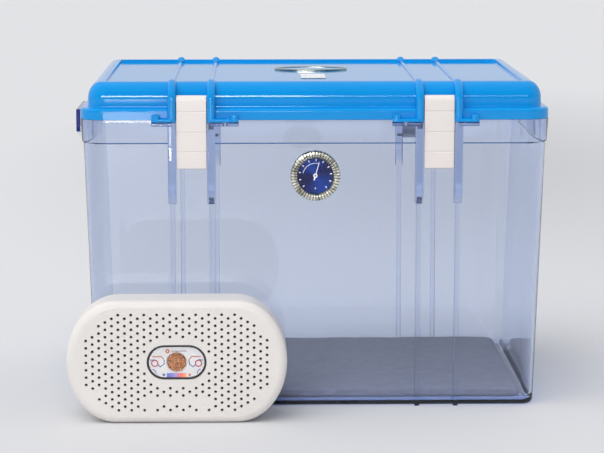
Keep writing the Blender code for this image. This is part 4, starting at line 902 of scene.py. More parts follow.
def shrink_cap(height_before, steps):
    """Carries the selected cap on by scaling, where the corners are too tight for an inset."""
    inset, height = height_before
    for next_inset, next_height in steps:
        scale = ((HALF_X - next_inset) / (HALF_X - inset), (HALF_Y - next_inset) / (HALF_Y - inset), 1)
        bpy.ops.mesh.extrude_region_move()
        bpy.ops.transform.resize(value=scale, center_override=(0, 0, height))
        bpy.ops.transform.translate(value=(0, 0, next_height - height))
        inset, height = next_inset, next_height


def make_lid_shell():
    """The lid's rim, foot, rounded shoulder, strip and panel, then its groove and inside."""
    start = LID_BOTTOM + 0.002
    lid = block("blue_lid", (-HALF_X, -HALF_Y, LID_BOTTOM), (HALF_X, HALF_Y, start))
    bevel_where(lid, is_upright, CORNER, CORNER_STEPS)
    edit(lid)
    pick(lid, "faces", lambda face, at: face.normal.z > 0.9)
    steps = [(0, LID_RIM_TOP - LID_RIM_ROUND)]
    steps += [(LID_RIM_ROUND * inward, LID_RIM_TOP - LID_RIM_ROUND * left) for inward, left in quarter(5)]
    steps += [(DOME_INSET - 0.0014, LID_RIM_TOP + 0.0001), (DOME_INSET - 0.0004, LID_RIM_TOP + 0.0006)]
    steps += [(DOME_INSET, DOME_BOTTOM), *shoulder(0)]
    carry_on((0, start), steps)
    inner = STRIP_INSET + STRIP_WIDTH
    shrink_cap(
        (STRIP_INSET, STRIP_TOP),
        [
            (STRIP_INSET + 0.0006, STRIP_TOP),
            (inner - 0.0004, STRIP_TOP),
            (inner, STRIP_TOP - 0.0002),
            (inner + 0.0007, PANEL_TOP + 0.0002),
            (inner + 0.0011, PANEL_TOP),
            (inner + 0.002, PANEL_TOP),
        ],
    )
    bpy.ops.mesh.select_all(action="DESELECT")
    pick(lid, "faces", lambda face, at: face.normal.z < -0.9)
    groove = LID_WALL + 0.0058
    groove_foot = LID_RIM_TOP - LID_WALL - 0.0037
    under = groove + 0.0014
    steps = [
        (LID_WALL, LID_BOTTOM),
        (LID_WALL, LID_RIM_TOP - LID_WALL),
        (groove, LID_RIM_TOP - LID_WALL),
        (groove, groove_foot),
        (under, groove_foot),
        *shoulder(under - DOME_INSET, 5),
    ]
    carry_on((0, LID_BOTTOM), steps)
    shrink_cap(steps[-1], [(inner + LID_WALL, PANEL_TOP - LID_WALL)])
    leave()
    return lid


def rib_root(side):
    """The hidden side of a lid rib, inside the lid's wall."""
    middle = LID_WALL / 2
    points = [
        (side * (HALF_Y - middle), LID_BOTTOM + GAP),
        (side * (HALF_Y - middle), LID_RIM_TOP - middle),
        (side * (HALF_Y - DOME_INSET - middle), LID_RIM_TOP - middle),
    ]
    points += [(side * (HALF_Y - inset), height) for inset, height in shoulder(middle, 5)]
    points.append((side * (HALF_Y - STRIP_INSET - STRIP_WIDTH - 0.003), PANEL_TOP - middle))
    return points


def rib_crest(side, foot_y):
    """The free edge of a lid rib, from the knob on the lid's edge down to its foot."""
    knob = HALF_Y - STRIP_INSET
    points = [
        (side * (knob - STRIP_WIDTH - 0.003), PANEL_TOP + 0.0014),
        (side * (knob - STRIP_WIDTH - 0.0008), RIB_CREST - 0.0016),
        (side * (knob - STRIP_WIDTH + 0.0008), RIB_CREST - 0.0003),
        (side * (knob - 0.0015), RIB_CREST),
    ]
    for step in range(1, 15):
        angle = math.pi / 2 * (1 - step / 14)
        reach = foot_y - knob
        rise = RIB_CREST - DOME_SPRING
        points.append((side * (knob + reach * math.cos(angle)), DOME_SPRING + rise * math.sin(angle)))
    return points


def make_lid_rib(side, middle):
    """A rib over the lid's edge. At the back its foot is the hinge's ear."""
    clear = HALF_Y + 2 * GAP
    if side == FRONT:
        crest = rib_crest(side, RIB_FACE)
        foot = [(-RIB_FACE, LID_RIB_BOTTOM), (-clear, LID_RIB_BOTTOM), (-clear, LID_BOTTOM + GAP)]
    else:
        crest = rib_crest(side, HINGE_AXIS[0] + HINGE_RADIUS)
        foot = round_about(HINGE_AXIS, HINGE_RADIUS, 0, -180, 12)
        foot.append((HALF_Y + 0.0015, LID_BOTTOM + GAP))
    outline = rib_root(side) + crest + foot
    rib = cross_prism("lid_rib", outline, middle - RIB_WIDTH / 2, middle + RIB_WIDTH / 2)
    crest_points = [Vector((y, z)) for y, z in crest]

    def along_crest(edge, at):
        if runs_across(edge):
            return False
        ends = [Vector((vertex.co.y, vertex.co.z)) for vertex in edge.verts]
        on_crest = all(min((end - point).length for point in crest_points) < 1e-5 for end in ends)
        down_front = side == FRONT and abs(at.y + RIB_FACE) < 1e-5
        return on_crest or down_front

    bevel_where(rib, along_crest, 0.0029, 6)
    return rib


def make_ridge(middle):
    """The low ridge that joins two ribs across the panel."""
    half = HALF_Y - STRIP_INSET - STRIP_WIDTH - 0.001
    low = (middle - 0.0015, -half, PANEL_TOP - LID_WALL / 2)
    ridge = block("ridge", low, (middle + 0.0015, half, PANEL_TOP + 0.0014))
    bevel_where(ridge, lambda edge, at: at.z > PANEL_TOP + 0.0013 and abs(at.y) < 0.001, 0.0008, 3)
    return ridge


def make_lid_tab(end, near, far):
    """A tab at the lid's lower edge, with a round boss at its free end."""
    outline = [
        (-(HALF_Y + TAB_REACH), LID_RIB_BOTTOM),
        (-(HALF_Y + TAB_REACH), LID_RIB_BOTTOM + TAB_THICKNESS),
        (-HALF_Y, LID_RIB_BOTTOM + 1.3 * TAB_THICKNESS),
        (-(HALF_Y - LID_WALL / 2), LID_RIB_BOTTOM + 1.3 * TAB_THICKNESS),
        (-(HALF_Y - LID_WALL / 2), LID_BOTTOM + GAP),
        (-(HALF_Y + 2 * GAP), LID_BOTTOM + GAP),
        (-(HALF_Y + 2 * GAP), LID_RIB_BOTTOM),
    ]
    start, stop = sorted((end * near, end * far))
    tab = cross_prism("lid_tab", outline, start, stop)
    bevel_where(tab, lambda edge, at: at.y < -(HALF_Y + TAB_REACH - NEAR), 0.0007, 3)
    return tab


def make_boss(end, boss_x):
    middle = (end * boss_x, -(HALF_Y + BOSS_RADIUS + GAP), LID_RIB_BOTTOM + 0.0004 + BOSS_HEIGHT / 2)
    boss = rod("boss", middle, BOSS_RADIUS - 0.0001, BOSS_HEIGHT, "Z", 32)
    top = middle[2] + BOSS_HEIGHT / 2
    bevel_where(boss, lambda edge, at: min(v.co.z for v in edge.verts) > top - NEAR, 0.0012, 4)
    return boss


def pin_holes():
    return [
        rod("pin_hole", (end * LATCH_X, y, z), PIN_BORE, 0.0358, "X", 24)
        for end in (LEFT, RIGHT)
        for y, z in (LATCH_AXIS, HINGE_AXIS)
    ]


def finish_lid():
    lid = make_lid_shell()
    ribs = [make_lid_rib(side, x) for end in (LEFT, RIGHT) for side, x in front_ribs(end)]
    ridges = [make_ridge(end * x) for end in (LEFT, RIGHT) for x in (RIB_INNER_X, RIB_OUTER_X)]
    tabs, bosses = [], []
    for end in (LEFT, RIGHT):
        for near, far, boss_x in tab_spans():
            tabs.append(make_lid_tab(end, near, far))
            bosses.append(make_boss(end, boss_x))
    for shapes in (ribs, ridges, tabs, bosses):
        combine(lid, [join(shapes)])
    combine(lid, [join(pin_holes()), *tie_holes(0.02)], "DIFFERENCE")
    smooth(lid, 32)
    carry(lid, "lid", LID_BLUE, "blue_plastic", "lid_shell")


def make_latch(end, node):
    """A latch: barrel, plate with three pressed lines, rounded lower edge and the hook behind it."""
    axis_y, axis_z = LATCH_AXIS
    hook_top = BAND_BOTTOM - GAP
    hook_face = HOOK_FACE + 0.0005
    outline = round_about(LATCH_AXIS, LATCH_BARREL, -50, 230, 20)
    top = axis_z + LATCH_BARREL
    for depth in (0.013, 0.030, 0.046):
        height = top - depth
        for offset, sunk in ((0.0007, 0), (0.00025, 0.0004), (-0.00025, 0.0004), (-0.0007, 0)):
            outline.append((-(LATCH_FACE - sunk), height + offset))
    outline += [
        (-LATCH_FACE, LATCH_FOOT + 0.0012),
        (-(LATCH_FACE - 0.0003), LATCH_FOOT + 0.0004),
        (-(LATCH_FACE - 0.0012), LATCH_FOOT),
        (-(LATCH_INNER + 0.0005), LATCH_FOOT),
        (-LATCH_INNER, LATCH_FOOT + 0.0005),
        (-LATCH_INNER, hook_top - 0.005),
        (-hook_face, hook_top - 0.0026),
        (-hook_face, hook_top),
        (-LATCH_INNER, hook_top),
        (-LATCH_INNER, axis_z - LATCH_BARREL - 0.0012),
    ]
    latch = cross_prism(node + "_clip", outline, end * LATCH_X - LATCH_HALF, end * LATCH_X + LATCH_HALF)

    def side_edge(edge, at):
        outside = at.y < -(LATCH_FACE - 0.0009) or at.z > axis_z
        return not runs_across(edge) and outside

    bevel_where(latch, side_edge, 0.00045, 2)
    bore = rod("bore", (end * LATCH_X, axis_y, axis_z), PIN_BORE, THROUGH, "X", 24)
    combine(latch, [bore], "DIFFERENCE")
    smooth(latch, 30)
    carry(latch, node, LATCH_IVORY, "ivory_plastic", node)


def make_hinge_leaf(end, node):
    """A rear hinge leaf: two barrels and the ribbed plate between them."""
    foot_radius = 0.0032
    foot_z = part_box(node)[0][2] + foot_radius
    foot_y = wall_y(foot_z) + foot_radius + GAP
    inner = HALF_Y + 2 * GAP + 0.0008
    outer = inner + 0.0028
    axis_y, axis_z = HINGE_AXIS
    outline = round_about(HINGE_AXIS, HINGE_RADIUS, -70, 235, 18)
    outline += [(inner, axis_z - 0.004), (inner, foot_z + 0.006)]
    outline += round_about((foot_y, foot_z), foot_radius, 170, 210, 16)
    for height in (foot_z + 0.006, foot_z + 0.012, foot_z + 0.018, axis_z - 0.007):
        if foot_z + 0.006 < height < axis_z - 0.007:
            outline += [(outer, height - 0.0006), (outer - 0.0004, height), (outer, height + 0.0006)]
        else:
            outline.append((outer, height))
    leaf = cross_prism(node + "_plate", outline, end * LATCH_X - LATCH_HALF, end * LATCH_X + LATCH_HALF)
    bevel_where(leaf, lambda edge, at: not runs_across(edge) and at.y > outer - 0.001, 0.0004, 2)
    bores = [
        rod("bore", (end * LATCH_X, y, z), PIN_BORE, THROUGH, "X", 24)
        for y, z in ((axis_y, axis_z), (foot_y, foot_z))
    ]
    combine(leaf, [join(bores)], "DIFFERENCE")
    smooth(leaf, 30)
    carry(leaf, "root", LATCH_IVORY, "ivory_plastic", node)


def make_foam():
    """The mat: cut foam with soft edges and a slightly uneven top."""
    mat = block("foam_sheet", FOAM_LOW, FOAM_HIGH)
    bevel_where(mat, is_upright, 0.009, 8)
    bevel_where(mat, lambda edge, at: not is_upright(edge, at), 0.0012, 2)
    modify(mat, "REMESH", mode="VOXEL", voxel_size=0.0024)
    cloud = bpy.data.textures.new("foam_waves", "CLOUDS")
    cloud.noise_scale = 0.035
    group = mat.vertex_groups.new(name="top")
    upper = [v.index for v in mat.data.vertices if v.co.z > FOAM_LOW[2] + 0.004]
    group.add(upper, 1.0, "REPLACE")
    modify(
        mat, "DISPLACE", texture=cloud, strength=0.0016, mid_level=0.75, direction="Z",
        vertex_group="top", texture_coords="LOCAL",
    )
    modify(mat, "SMOOTH", factor=0.5, iterations=3)
    smooth(mat, 60, False)
    carry(mat, "root", FOAM, "foam", "foam_mat")


def oval_points(half_x, half_y, middle, height, count=72):
    return [
        (
            middle[0] + half_x * math.cos(math.tau * step / count),
            middle[1] + half_y * math.sin(math.tau * step / count),
            height,
        )
        for step in range(count)
    ]


def finish_badge():
    """A blank oval badge: a blue plate inside a bright raised rim, and the white sticker before it."""
    low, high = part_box("lid_badge")
    half_x, half_y = (high[0] - low[0]) / 2, (high[1] - low[1]) / 2
    middle = ((low[0] + high[0]) / 2, (low[1] + high[1]) / 2)
    plate = prism(
        "badge_plate", oval_points(half_x - 0.0014, half_y - 0.0014, middle, low[2]), (0, 0, 0.0006)
    )
    smooth(plate)
    carry(plate, "lid", LID_BLUE, "blue_plastic", "lid_badge")

    rim = prism("badge_rim", oval_points(half_x, half_y, middle, low[2]), (0, 0, high[2] - low[2]))
    hole = prism(
        "badge_hole",
        oval_points(half_x - 0.0016, half_y - 0.0016, middle, low[2] - 0.001),
        (0, 0, 0.004),
    )
    combine(rim, [hole], "DIFFERENCE")
    bevel_where(rim, lambda edge, at: min(v.co.z for v in edge.verts) > high[2] - 1e-5, 0.0004, 3)
    smooth(rim)
    carry(rim, "lid", BADGE_METAL, "chrome_trim")

    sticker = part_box("lid_sticker")
    label = block("sticker_sheet", sticker[0], sticker[1])
    bevel_where(label, lambda edge, at: abs(edge.verts[0].co.z - edge.verts[1].co.z) > 0.0001, 0.002, 6)
    smooth(label)
    carry(label, "lid", STICKER_PRINT, "white_label", "lid_sticker")


def finish_gauge():
    make_bezel()
    make_dial()
    make_needle()


def make_bezel():
    """Plated bezel: rolled outer edge, a notched band and a bright slope down to the glass."""
    top = BEZEL_TOP
    outline = [
        (BEZEL_RADIUS - 0.0008, 0.0007),
        (BEZEL_RADIUS - 0.0002, 0.0007),
        (BEZEL_RADIUS, 0.0010),
        (BEZEL_RADIUS, top - 0.0018),
        (BEZEL_RADIUS - 0.0002, top - 0.0012),
        (BEZEL_RADIUS - 0.0006, top - 0.0009),
        (BEZEL_RADIUS - 0.0027, top - 0.0006),
        (BEZEL_RADIUS - 0.0030, top - 0.0002),
        (BEZEL_RADIUS - 0.0034, top),
        (BEZEL_RADIUS - 0.0040, top - 0.0001),
        (BEZEL_RADIUS - 0.0044, top - 0.0006),
        (WINDOW_RADIUS + 0.0002, top - 0.0016),
        (WINDOW_RADIUS, top - 0.0018),
        (WINDOW_RADIUS, top - 0.0020),
        (BEZEL_RADIUS - 0.0008, top - 0.0020),
    ]
    bezel = gauge_ring("bezel_ring", outline, 96)
    notch = notch_shape()
    notches = []
    centre = Matrix.Translation(gauge_point(0, 0, 0))
    for step in range(NOTCHES):
        angle = math.tau * step / NOTCHES
        twin = copy_at(notch, (0, 0, 0), "notch")
        twin.data.transform(centre @ Matrix.Rotation(angle, 4, GAUGE_AXIS) @ centre.inverted())
        notches.append(twin)
    bpy.data.objects.remove(notch, do_unlink=True)
    combine(bezel, [join(notches)], "DIFFERENCE")
    smooth(bezel, 30)
    carry(bezel, "root", CHROME, "chrome_trim", "gauge_bezel")


def notch_shape():
    """One notch cutter at the top of the bezel's flat band."""
    middle = BEZEL_RADIUS - 0.0017
    corners = [
        gauge_point(x, middle + z, BEZEL_TOP - 0.00105)
        for x, z in ((-0.0003, -0.0008), (0.0003, -0.0008), (0.0003, 0.0009), (-0.0003, 0.0009))
    ]
    return prism("notch", [tuple(c) for c in corners], tuple(GAUGE_AXIS * 0.001))


def make_dial():
    """Sunburst dial, its printed marks and the arc over the dry range."""
    face = DIAL_FACE
    back = face - 0.0005
    section = [(DIAL_HOLE, back), (DIAL_RADIUS, back), (DIAL_RADIUS, face), (DIAL_HOLE, face)]
    disc = gauge_ring("dial_disc", section, 96)
    smooth(disc)
    carry(disc, "root", DIAL_BLUE, "dial_print", "gauge_dial")
    marks = []
    for step in range(11):
        angle = math.radians(-132 + DIAL_STEP_DEGREES * step)
        marks.append(dial_mark(angle, 0.0120, 0.0137, 0.00036))
    marks.append(dial_mark(math.pi, 0.0100, 0.0111, 0.00036))
    arc = []
    for radius, angles in ((0.0104, range(33)), (0.0101, range(32, -1, -1))):
        for step in angles:
            angle = math.radians(-78 + 96 * step / 32)
            spot = gauge_point(radius * math.sin(angle), radius * math.cos(angle), face + 0.00002)
            arc.append(tuple(spot))
    marks.append(prism("dial_arc", arc, tuple(GAUGE_AXIS * PRINT_THICKNESS)))
    printed = join(marks)
    printed.name = printed.data.name = "dial_marks"
    smooth(printed, 30, False)
    carry(printed, "root", DIAL_WHITE, "white_paint")


def dial_mark(angle, near, far, half_width):
    """A short radial mark on the dial, wider at its outer end."""
    face = DIAL_FACE + 0.00002
    along = Vector((math.sin(angle), math.cos(angle)))
    across = Vector((along.y, -along.x))
    corners = []
    for reach, width in ((near, -0.6), (far, -1), (far, 1), (near, 0.6)):
        spot = along * reach + across * width * half_width
        corners.append(tuple(gauge_point(spot.x, spot.y, face)))
    return prism("dial_mark", corners, tuple(GAUGE_AXIS * PRINT_THICKNESS))


def make_needle():
    """White needle with a ring hub and a short tail."""
    height = DIAL_FACE + 0.0004
    angle = math.radians(NEEDLE_DEGREES)
    along = Vector((math.sin(angle), math.cos(angle)))
    across = Vector((along.y, -along.x))
    pointer = ((0.0118, 0.00008), (0.0112, 0.00017), (0.0012, 0.0003))
    pointer += tuple((reach, -width) for reach, width in reversed(pointer))
    tail = ((-0.0012, 0.0004), (-0.0036, 0.0005), (-0.0041, 0), (-0.0036, -0.0005), (-0.0012, -0.0004))
    pieces = []
    for points in (pointer, tail):
        corners = []
        for reach, width in points:
            spot = along * reach + across * width
            corners.append(tuple(gauge_point(spot.x, spot.y, height)))
        pieces.append(prism("needle_arm", corners, tuple(GAUGE_AXIS * 0.00025)))
    hub = gauge_ring(
        "needle_hub",
        [(0.00095, height), (0.0017, height), (0.0017, height + 0.0003), (0.00095, height + 0.0003)],
        40,
    )
    combine(hub, pieces)
    hub.name = hub.data.name = "needle_pointer"
    smooth(hub, 30)
    carry(hub, "gauge_pointer", DIAL_WHITE, "white_paint", "gauge_needle")


def dryer_outline(inset, y, steps=24):
    """The dryer's outline at an inset: flat top and bottom with half-oval ends."""
    points = []
    for side in (RIGHT, LEFT):
        for step in range(2 * steps + 1):
            angle = math.pi / 2 * (1 - step / steps)
            x = DRYER_X + side * (DRYER_HALF - DRYER_END + (DRYER_END - inset) * math.cos(angle))
            points.append((x, y, DRYER_MIDDLE + side * (DRYER_MIDDLE - inset) * math.sin(angle)))
    return points


def dryer_slab(name, sections):
    """A shape over the dryer's outline, carried on through pairs of inset and Y by scaling its end."""
    inset, y = sections[0]
    piece = draw(name, dryer_outline(inset, y))
    bpy.ops.mesh.edge_face_add()
    bpy.ops.mesh.select_mode(type="FACE")
    for next_inset, next_y in sections[1:]:
        scale = (
            (DRYER_HALF - next_inset) / (DRYER_HALF - inset),
            1,
            (DRYER_MIDDLE - next_inset) / (DRYER_MIDDLE - inset),
        )
        bpy.ops.mesh.extrude_region_move()
        bpy.ops.transform.resize(value=scale, center_override=(DRYER_X, y, DRYER_MIDDLE))
        bpy.ops.transform.translate(value=(0, next_y - y, 0))
        inset, y = next_inset, next_y
    bpy.ops.mesh.select_all(action="SELECT")
    bpy.ops.mesh.normals_make_consistent(inside=False)
    leave()
    return piece


def rounded_steps(inset, y, radius, direction, steps=7):
    """Inset and Y along a quarter round, from the flat face out to the side."""
    return [(inset + radius * left, y + direction * radius * inward) for inward, left in quarter(steps, 0)]


def vent_places():
    """Centres of the staggered vents, clear of the window, the screws and the plain edge."""
    pitch_x = VENT_PITCH * math.sqrt(3) / 2
    half_window = (WINDOW_SIZE[0] - WINDOW_SIZE[1]) / 2
    for column in range(-14, 15):
        x = column * pitch_x
        limit = DRYER_MIDDLE - 0.011 - max(abs(column) - 9, 0) * VENT_PITCH / 2
        if abs(column) > 12:
            limit -= VENT_PITCH
        for row in range(-8, 9):
            rise = (row + 0.5 * (column % 2)) * VENT_PITCH
            to_window = math.hypot(max(abs(x) - half_window, 0), rise)
            blank = abs(column) <= 5 and 0.0165 < DRYER_MIDDLE + rise < 0.0205
            on_screw = abs(column) == 12 and abs(rise + 0.024) < 0.001
            low_gap = abs(column) == 4 and abs(rise + 0.036) < 0.001
            if abs(rise) <= limit + GAP and to_window >= WINDOW_SIZE[1] / 2 + 0.0044:
                if not (blank or on_screw or low_gap):
                    yield DRYER_X + x, DRYER_MIDDLE + rise


def screw_places():
    upper = (0.066, DRYER_MIDDLE + 0.036)
    lower = (12 * VENT_PITCH * math.sqrt(3) / 2, DRYER_MIDDLE - 0.024)
    return [(DRYER_X + side * x, z) for x, z in (upper, lower) for side in (LEFT, RIGHT)]


def stadium(size, y, margin=0.0, steps=16, middle=None):
    """Straight top and bottom with half-round ends, standing across the dryer."""
    radius = size[1] / 2 + margin
    half = size[0] / 2 - size[1] / 2
    mid_x, mid_z = middle or (DRYER_X, WINDOW_Z)
    points = []
    for side in (RIGHT, LEFT):
        for step in range(steps + 1):
            angle = math.pi / 2 - math.pi * step / steps
            x = mid_x + side * (half + radius * math.cos(angle))
            points.append((x, y, mid_z + side * radius * math.sin(angle)))
    return points


def row_of_copies(piece, places):
    """The same cutter at every place, joined into one object."""
    twins = [copy_at(piece, (x, 0, z), "vent_cutter") for x, z in places]
    bpy.data.objects.remove(piece, do_unlink=True)
    return join(twins)


def finish_dryer():
    split = DRYER_SPLIT
    wall = DRYER_WALL
    outer = rounded_steps(0, DRYER_FRONT, DRYER_ROUND, 1, 8)
    inner = rounded_steps(wall, DRYER_FRONT + wall, DRYER_ROUND - 0.001, 1, 6)
    shell = dryer_slab("dryer_grille", [*outer, (0, split), (wall, split), *reversed(inner)])
    length = split - DRYER_FRONT - wall / 2
    bosses = [
        rod("boss", (x, split - length / 2, z), 0.00305, length, "Y", 20) for x, z in screw_places()
    ]
    combine(shell, [join(bosses)])
    vent = rod("vent", (0, DRYER_FRONT, 0), VENT_RADIUS, 0.008, "Y", 14)
    opening = prism("window_opening", stadium(WINDOW_SIZE, DRYER_FRONT - 0.002, GAP), (0, 0.008, 0))
    holes = rod("screw_hole", (0, split - 0.005, 0), SCREW_BORE, 0.0125, "Y", 16)
    combine(shell, [row_of_copies(vent, list(vent_places()))], "DIFFERENCE")
    combine(shell, [opening, row_of_copies(holes, screw_places())], "DIFFERENCE")
    smooth(shell, 30)
    carry(shell, "dryer", IVORY, "ivory_plastic", "dryer_front_shell")

    rear_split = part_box("dryer_back_shell")[0][1]
    outer = rounded_steps(0, DRYER_BACK, DRYER_ROUND / 2, -1, 6)
    inner = rounded_steps(wall, DRYER_BACK - wall, DRYER_ROUND / 2, -1, 4)
    rear = dryer_slab("dryer_rear", [*outer, (0, rear_split), (wall, rear_split), *reversed(inner)])
    deep = DRYER_BACK - rear_split
    bosses = [
        rod("boss", (x, rear_split + (deep - wall / 2) / 2, z), 0.0047, deep - wall / 2, "Y", 24)
        for x, z in screw_places()
    ]
    combine(rear, [join(bosses)])
    pockets, bores = [], []
    for x, z in screw_places():
        pockets.append(rod("pocket", (x, DRYER_BACK, z), 0.0029, 2 * (deep - 0.006), "Y", 24))
    for x, z in screw_places():
        bores.append(rod("bore", (x, DRYER_BACK - 0.01, z), SCREW_BORE, THROUGH, "Y", 16))
    inlet = prism(
        "inlet_opening",
        stadium((0.0166, 0.0096), DRYER_BACK - 0.006, 0.0, 10, (DRYER_X, 0.016)),
        (0, 0.01, 0),
    )
    combine(rear, [join(pockets), join(bores), inlet], "DIFFERENCE")
    smooth(rear, 30)
    carry(rear, "dryer", IVORY, "ivory_plastic", "dryer_back_shell")
    make_window()


def ring_points(middle, radius, start, end):
    return [(x, PRINT_FACE, z) for x, z in round_about(middle, radius, start, end - start, 28)]


def lay_print(piece, finish):
    """Gives a thin print on the window card its ink."""
    smooth(piece, 30, False)
    carry(piece, "dryer", finish, "white_label")


def printed_arc(name, middle, radius, width, finish, start=0, end=359):
    """A printed line along part of a circle."""
    outer = ring_points(middle, radius + width / 2, start, end)
    inner = ring_points(middle, radius - width / 2, start, end)
    lay_print(prism(name, outer + inner[::-1], (0, -PRINT_THICKNESS, 0)), finish)


def printed_line(name, end, corners, finish, width=0.0007):
    """A printed line through corners in millimetres from the window's middle, mirrored by its end."""
    strokes = []
    points = [Vector((DRYER_X + end * x / 1000, WINDOW_Z + z / 1000)) for x, z in corners]
    for start, stop in zip(points, points[1:]):
        along = (stop - start).normalized() * width / 2
        side = Vector((-along.y, along.x))
        quad = (start - along + side, start - along - side, stop + along - side, stop + along + side)
        corners_here = [(spot.x, PRINT_FACE, spot.y) for spot in quad]
        strokes.append(prism(name, corners_here, (0, -PRINT_THICKNESS, 0)))
    lay_print(join(strokes), finish)


def make_window():
    """The status window: dark rim, clear pane, printed card, and beads behind the port."""
    rim = prism("window_rim", stadium(WINDOW_SIZE, DRYER_FRONT + 0.0042), (0, -0.0045, 0))
    hole = prism("rim_hole", stadium(WINDOW_SIZE, DRYER_FRONT + 0.006, -WINDOW_RIM), (0, -0.009, 0))
    combine(rim, [hole], "DIFFERENCE")
    bevel_where(rim, lambda edge, at: max(v.co.y for v in edge.verts) < DRYER_FRONT - 0.0002, 0.0002, 2)
    smooth(rim)
    carry(rim, "dryer", BLACK, "black_plastic", "dryer_window_frame")

    pane = prism(
        "window_glass", stadium(WINDOW_SIZE, DRYER_FRONT + 0.001, -WINDOW_RIM - GAP), (0, -0.0008, 0)
    )
    bevel_where(pane, lambda edge, at: True, 0.00012, 2)
    smooth(pane)
    carry(pane, "dryer", CLEAR_PANE, "clear_pane", "dryer_window_pane")

    card = prism(
        "window_print", stadium(WINDOW_SIZE, DRYER_FRONT + 0.0019, -WINDOW_RIM - GAP), (0, -0.0006, 0)
    )
    port = rod("port", (DRYER_X, DRYER_FRONT, WINDOW_Z), PORT_RADIUS, 0.009, "Y", 64)
    combine(card, [port], "DIFFERENCE")
    smooth(card)
    carry(card, "dryer", WHITE, "white_label", "dryer_window_card")
    print_card()
    fill_port()


def print_card():
    """Coloured outlines on the card, a thick ring and a bar over the port, and the colour scale under it."""
    for end in (LEFT, RIGHT):
        ring_middle = (DRYER_X + end * 0.0176, WINDOW_Z - 0.0010)
        printed_arc("red_ring", ring_middle, 0.0025, 0.0009, PRINT_RED)
        printed_line("orange_line", end, ((19.0, 4.4), (12.2, 4.4), (10.4, 2.4)), PRINT_ORANGE)
        printed_line("blue_line", end, ((9.9, 1.6), (10.2, -1.8), (13.2, -3.8), (14.6, -2.6)), PRINT_BLUE)
        printed_line("blue_lead", end, ((21.0, 1.6), (17.6, 1.9)), PRINT_BLUE)
        low_middle = (DRYER_X + end * 0.0200, WINDOW_Z - 0.0092)
        first_angle = -5 if end < 0 else 100
        printed_arc("low_arc", low_middle, 0.0034, 0.0006, PRINT_BLUE, first_angle, first_angle + 85)
        dot_middle = (DRYER_X + end * 0.0104, WINDOW_Z - 0.0104)
        printed_arc("scale_end", dot_middle, 0.0007, 0.0008, PRINT_BLUE if end < 0 else PRINT_ORANGE)
    printed_arc("round_mark", (DRYER_X - 0.0073, WINDOW_Z + 0.0090), 0.0012, 0.0011, PRINT_ORANGE)
    printed_line("plain_bar", RIGHT, ((-3.9, 8.9), (7.4, 8.9)), PRINT_GREY, 0.0012)
    printed_arc("port_outline", (DRYER_X, WINDOW_Z), PORT_RADIUS + 0.0005, 0.0004, PRINT_GREY)
    low = WINDOW_Z - 0.0124
    corners = ((-1, low), (1, low), (1, low + SCALE_HEIGHT), (-1, low + SCALE_HEIGHT))
    scale = [(DRYER_X + side * SCALE_HALF, PRINT_FACE, z) for side, z in corners]
    lay_print(prism("humidity_scale", scale, (0, -PRINT_THICKNESS, 0)), PRINT_SCALE)


def fill_port():
    """Indicator beads in staggered rows behind the port, on a backing disc."""
    beads = []
    for row in range(-6, 7):
        for column in range(-6, 7):
            x = (column + 0.5 * (row % 2)) * BEAD_PITCH
            z = row * BEAD_PITCH * math.sqrt(3) / 2
            if math.hypot(x, z) < PORT_RADIUS + 0.0002:
                beads.append((x, z))
    random.seed(11)
    deselect()
    bpy.ops.mesh.primitive_uv_sphere_add(segments=16, ring_count=10, radius=BEAD_RADIUS)
    bead = name_new("bead")
    bpy.context.view_layer.update()
    spheres = []
    for x, z in beads:
        place = (
            DRYER_X + x + random.uniform(-0.0001, 0.0001),
            DRYER_FRONT + 0.0034 + random.uniform(0, 0.0004),
            WINDOW_Z + z + random.uniform(-0.0001, 0.0001),
        )
        spheres.append(copy_at(bead, place, "bead"))
    bpy.data.objects.remove(bead, do_unlink=True)
    heap = join(spheres)
    behind = (DRYER_X, DRYER_FRONT + 0.0046, WINDOW_Z)
    backing = rod("bead_backing", behind, PORT_RADIUS + 0.001, 0.0018, "Y", 48)
    gathered = join([backing, heap])
    gathered.name = gathered.data.name = "bead_window_fill"
    smooth(gathered, 60, False)
    carry(gathered, "dryer", BEADS, "indicator_gel", "indicator_beads")


def make_studio():
    floor_finish = Finish("studio_floor")
    # Painted shadow: the floor's colour darkens in a soft round patch behind and to the right of the box.
    painted_shadow_spot = floor_finish.node("ShaderNodeMapping", vector_type="TEXTURE")
    painted_shadow_spot.inputs["Location"].default_value = (0.28, 1.55, 0.0)
    painted_shadow_spot.inputs["Scale"].default_value = (0.75, 1.5, 1.0)
    floor_finish.link(floor_finish.place, painted_shadow_spot.inputs["Vector"])
    shade = floor_finish.node("ShaderNodeTexGradient", gradient_type="SPHERICAL")
    floor_finish.link(painted_shadow_spot.outputs["Vector"], shade.inputs["Vector"])
    tones = ((0.0, (0.70, 0.70, 0.713)), (0.8, (0.55, 0.555, 0.575)))
    tone = floor_finish.ramp(shade.outputs["Fac"], tones)
    gloss = floor_finish.spread(floor_finish.noise(0.6, 2.0), 0.66, 0.74)
    floor_finish.set(Base_Color=tone, Roughness=gloss, Specular_IOR_Level=0.2)
    deselect()
    bpy.ops.mesh.primitive_plane_add(size=40, location=(0, 0, -0.0002))
    floor = name_new("studio_floor")
    paint(floor, floor_finish.made)

    make_sky()
    add_sun("soft_sun", (math.radians(25), math.radians(-20), 0), 1.8, 60)
    add_sun("front_fill", (math.radians(72), math.radians(-12), 0), 0.8, 50)
    add_card("rim_card", (-0.236, -1.5, 0.038), (0.12, 0.024), 0.17)
    add_card("low_left_card", (-0.236, -1.5, 0.13), (0.12, 0.15), 0.40)
    add_card("line_card_left", (-0.42, -2.1, 0.66), (0.95, 0.20), 13.0)
    add_card("line_card_right", (0.42, -2.1, 0.64), (0.70, 0.06), 1.5)


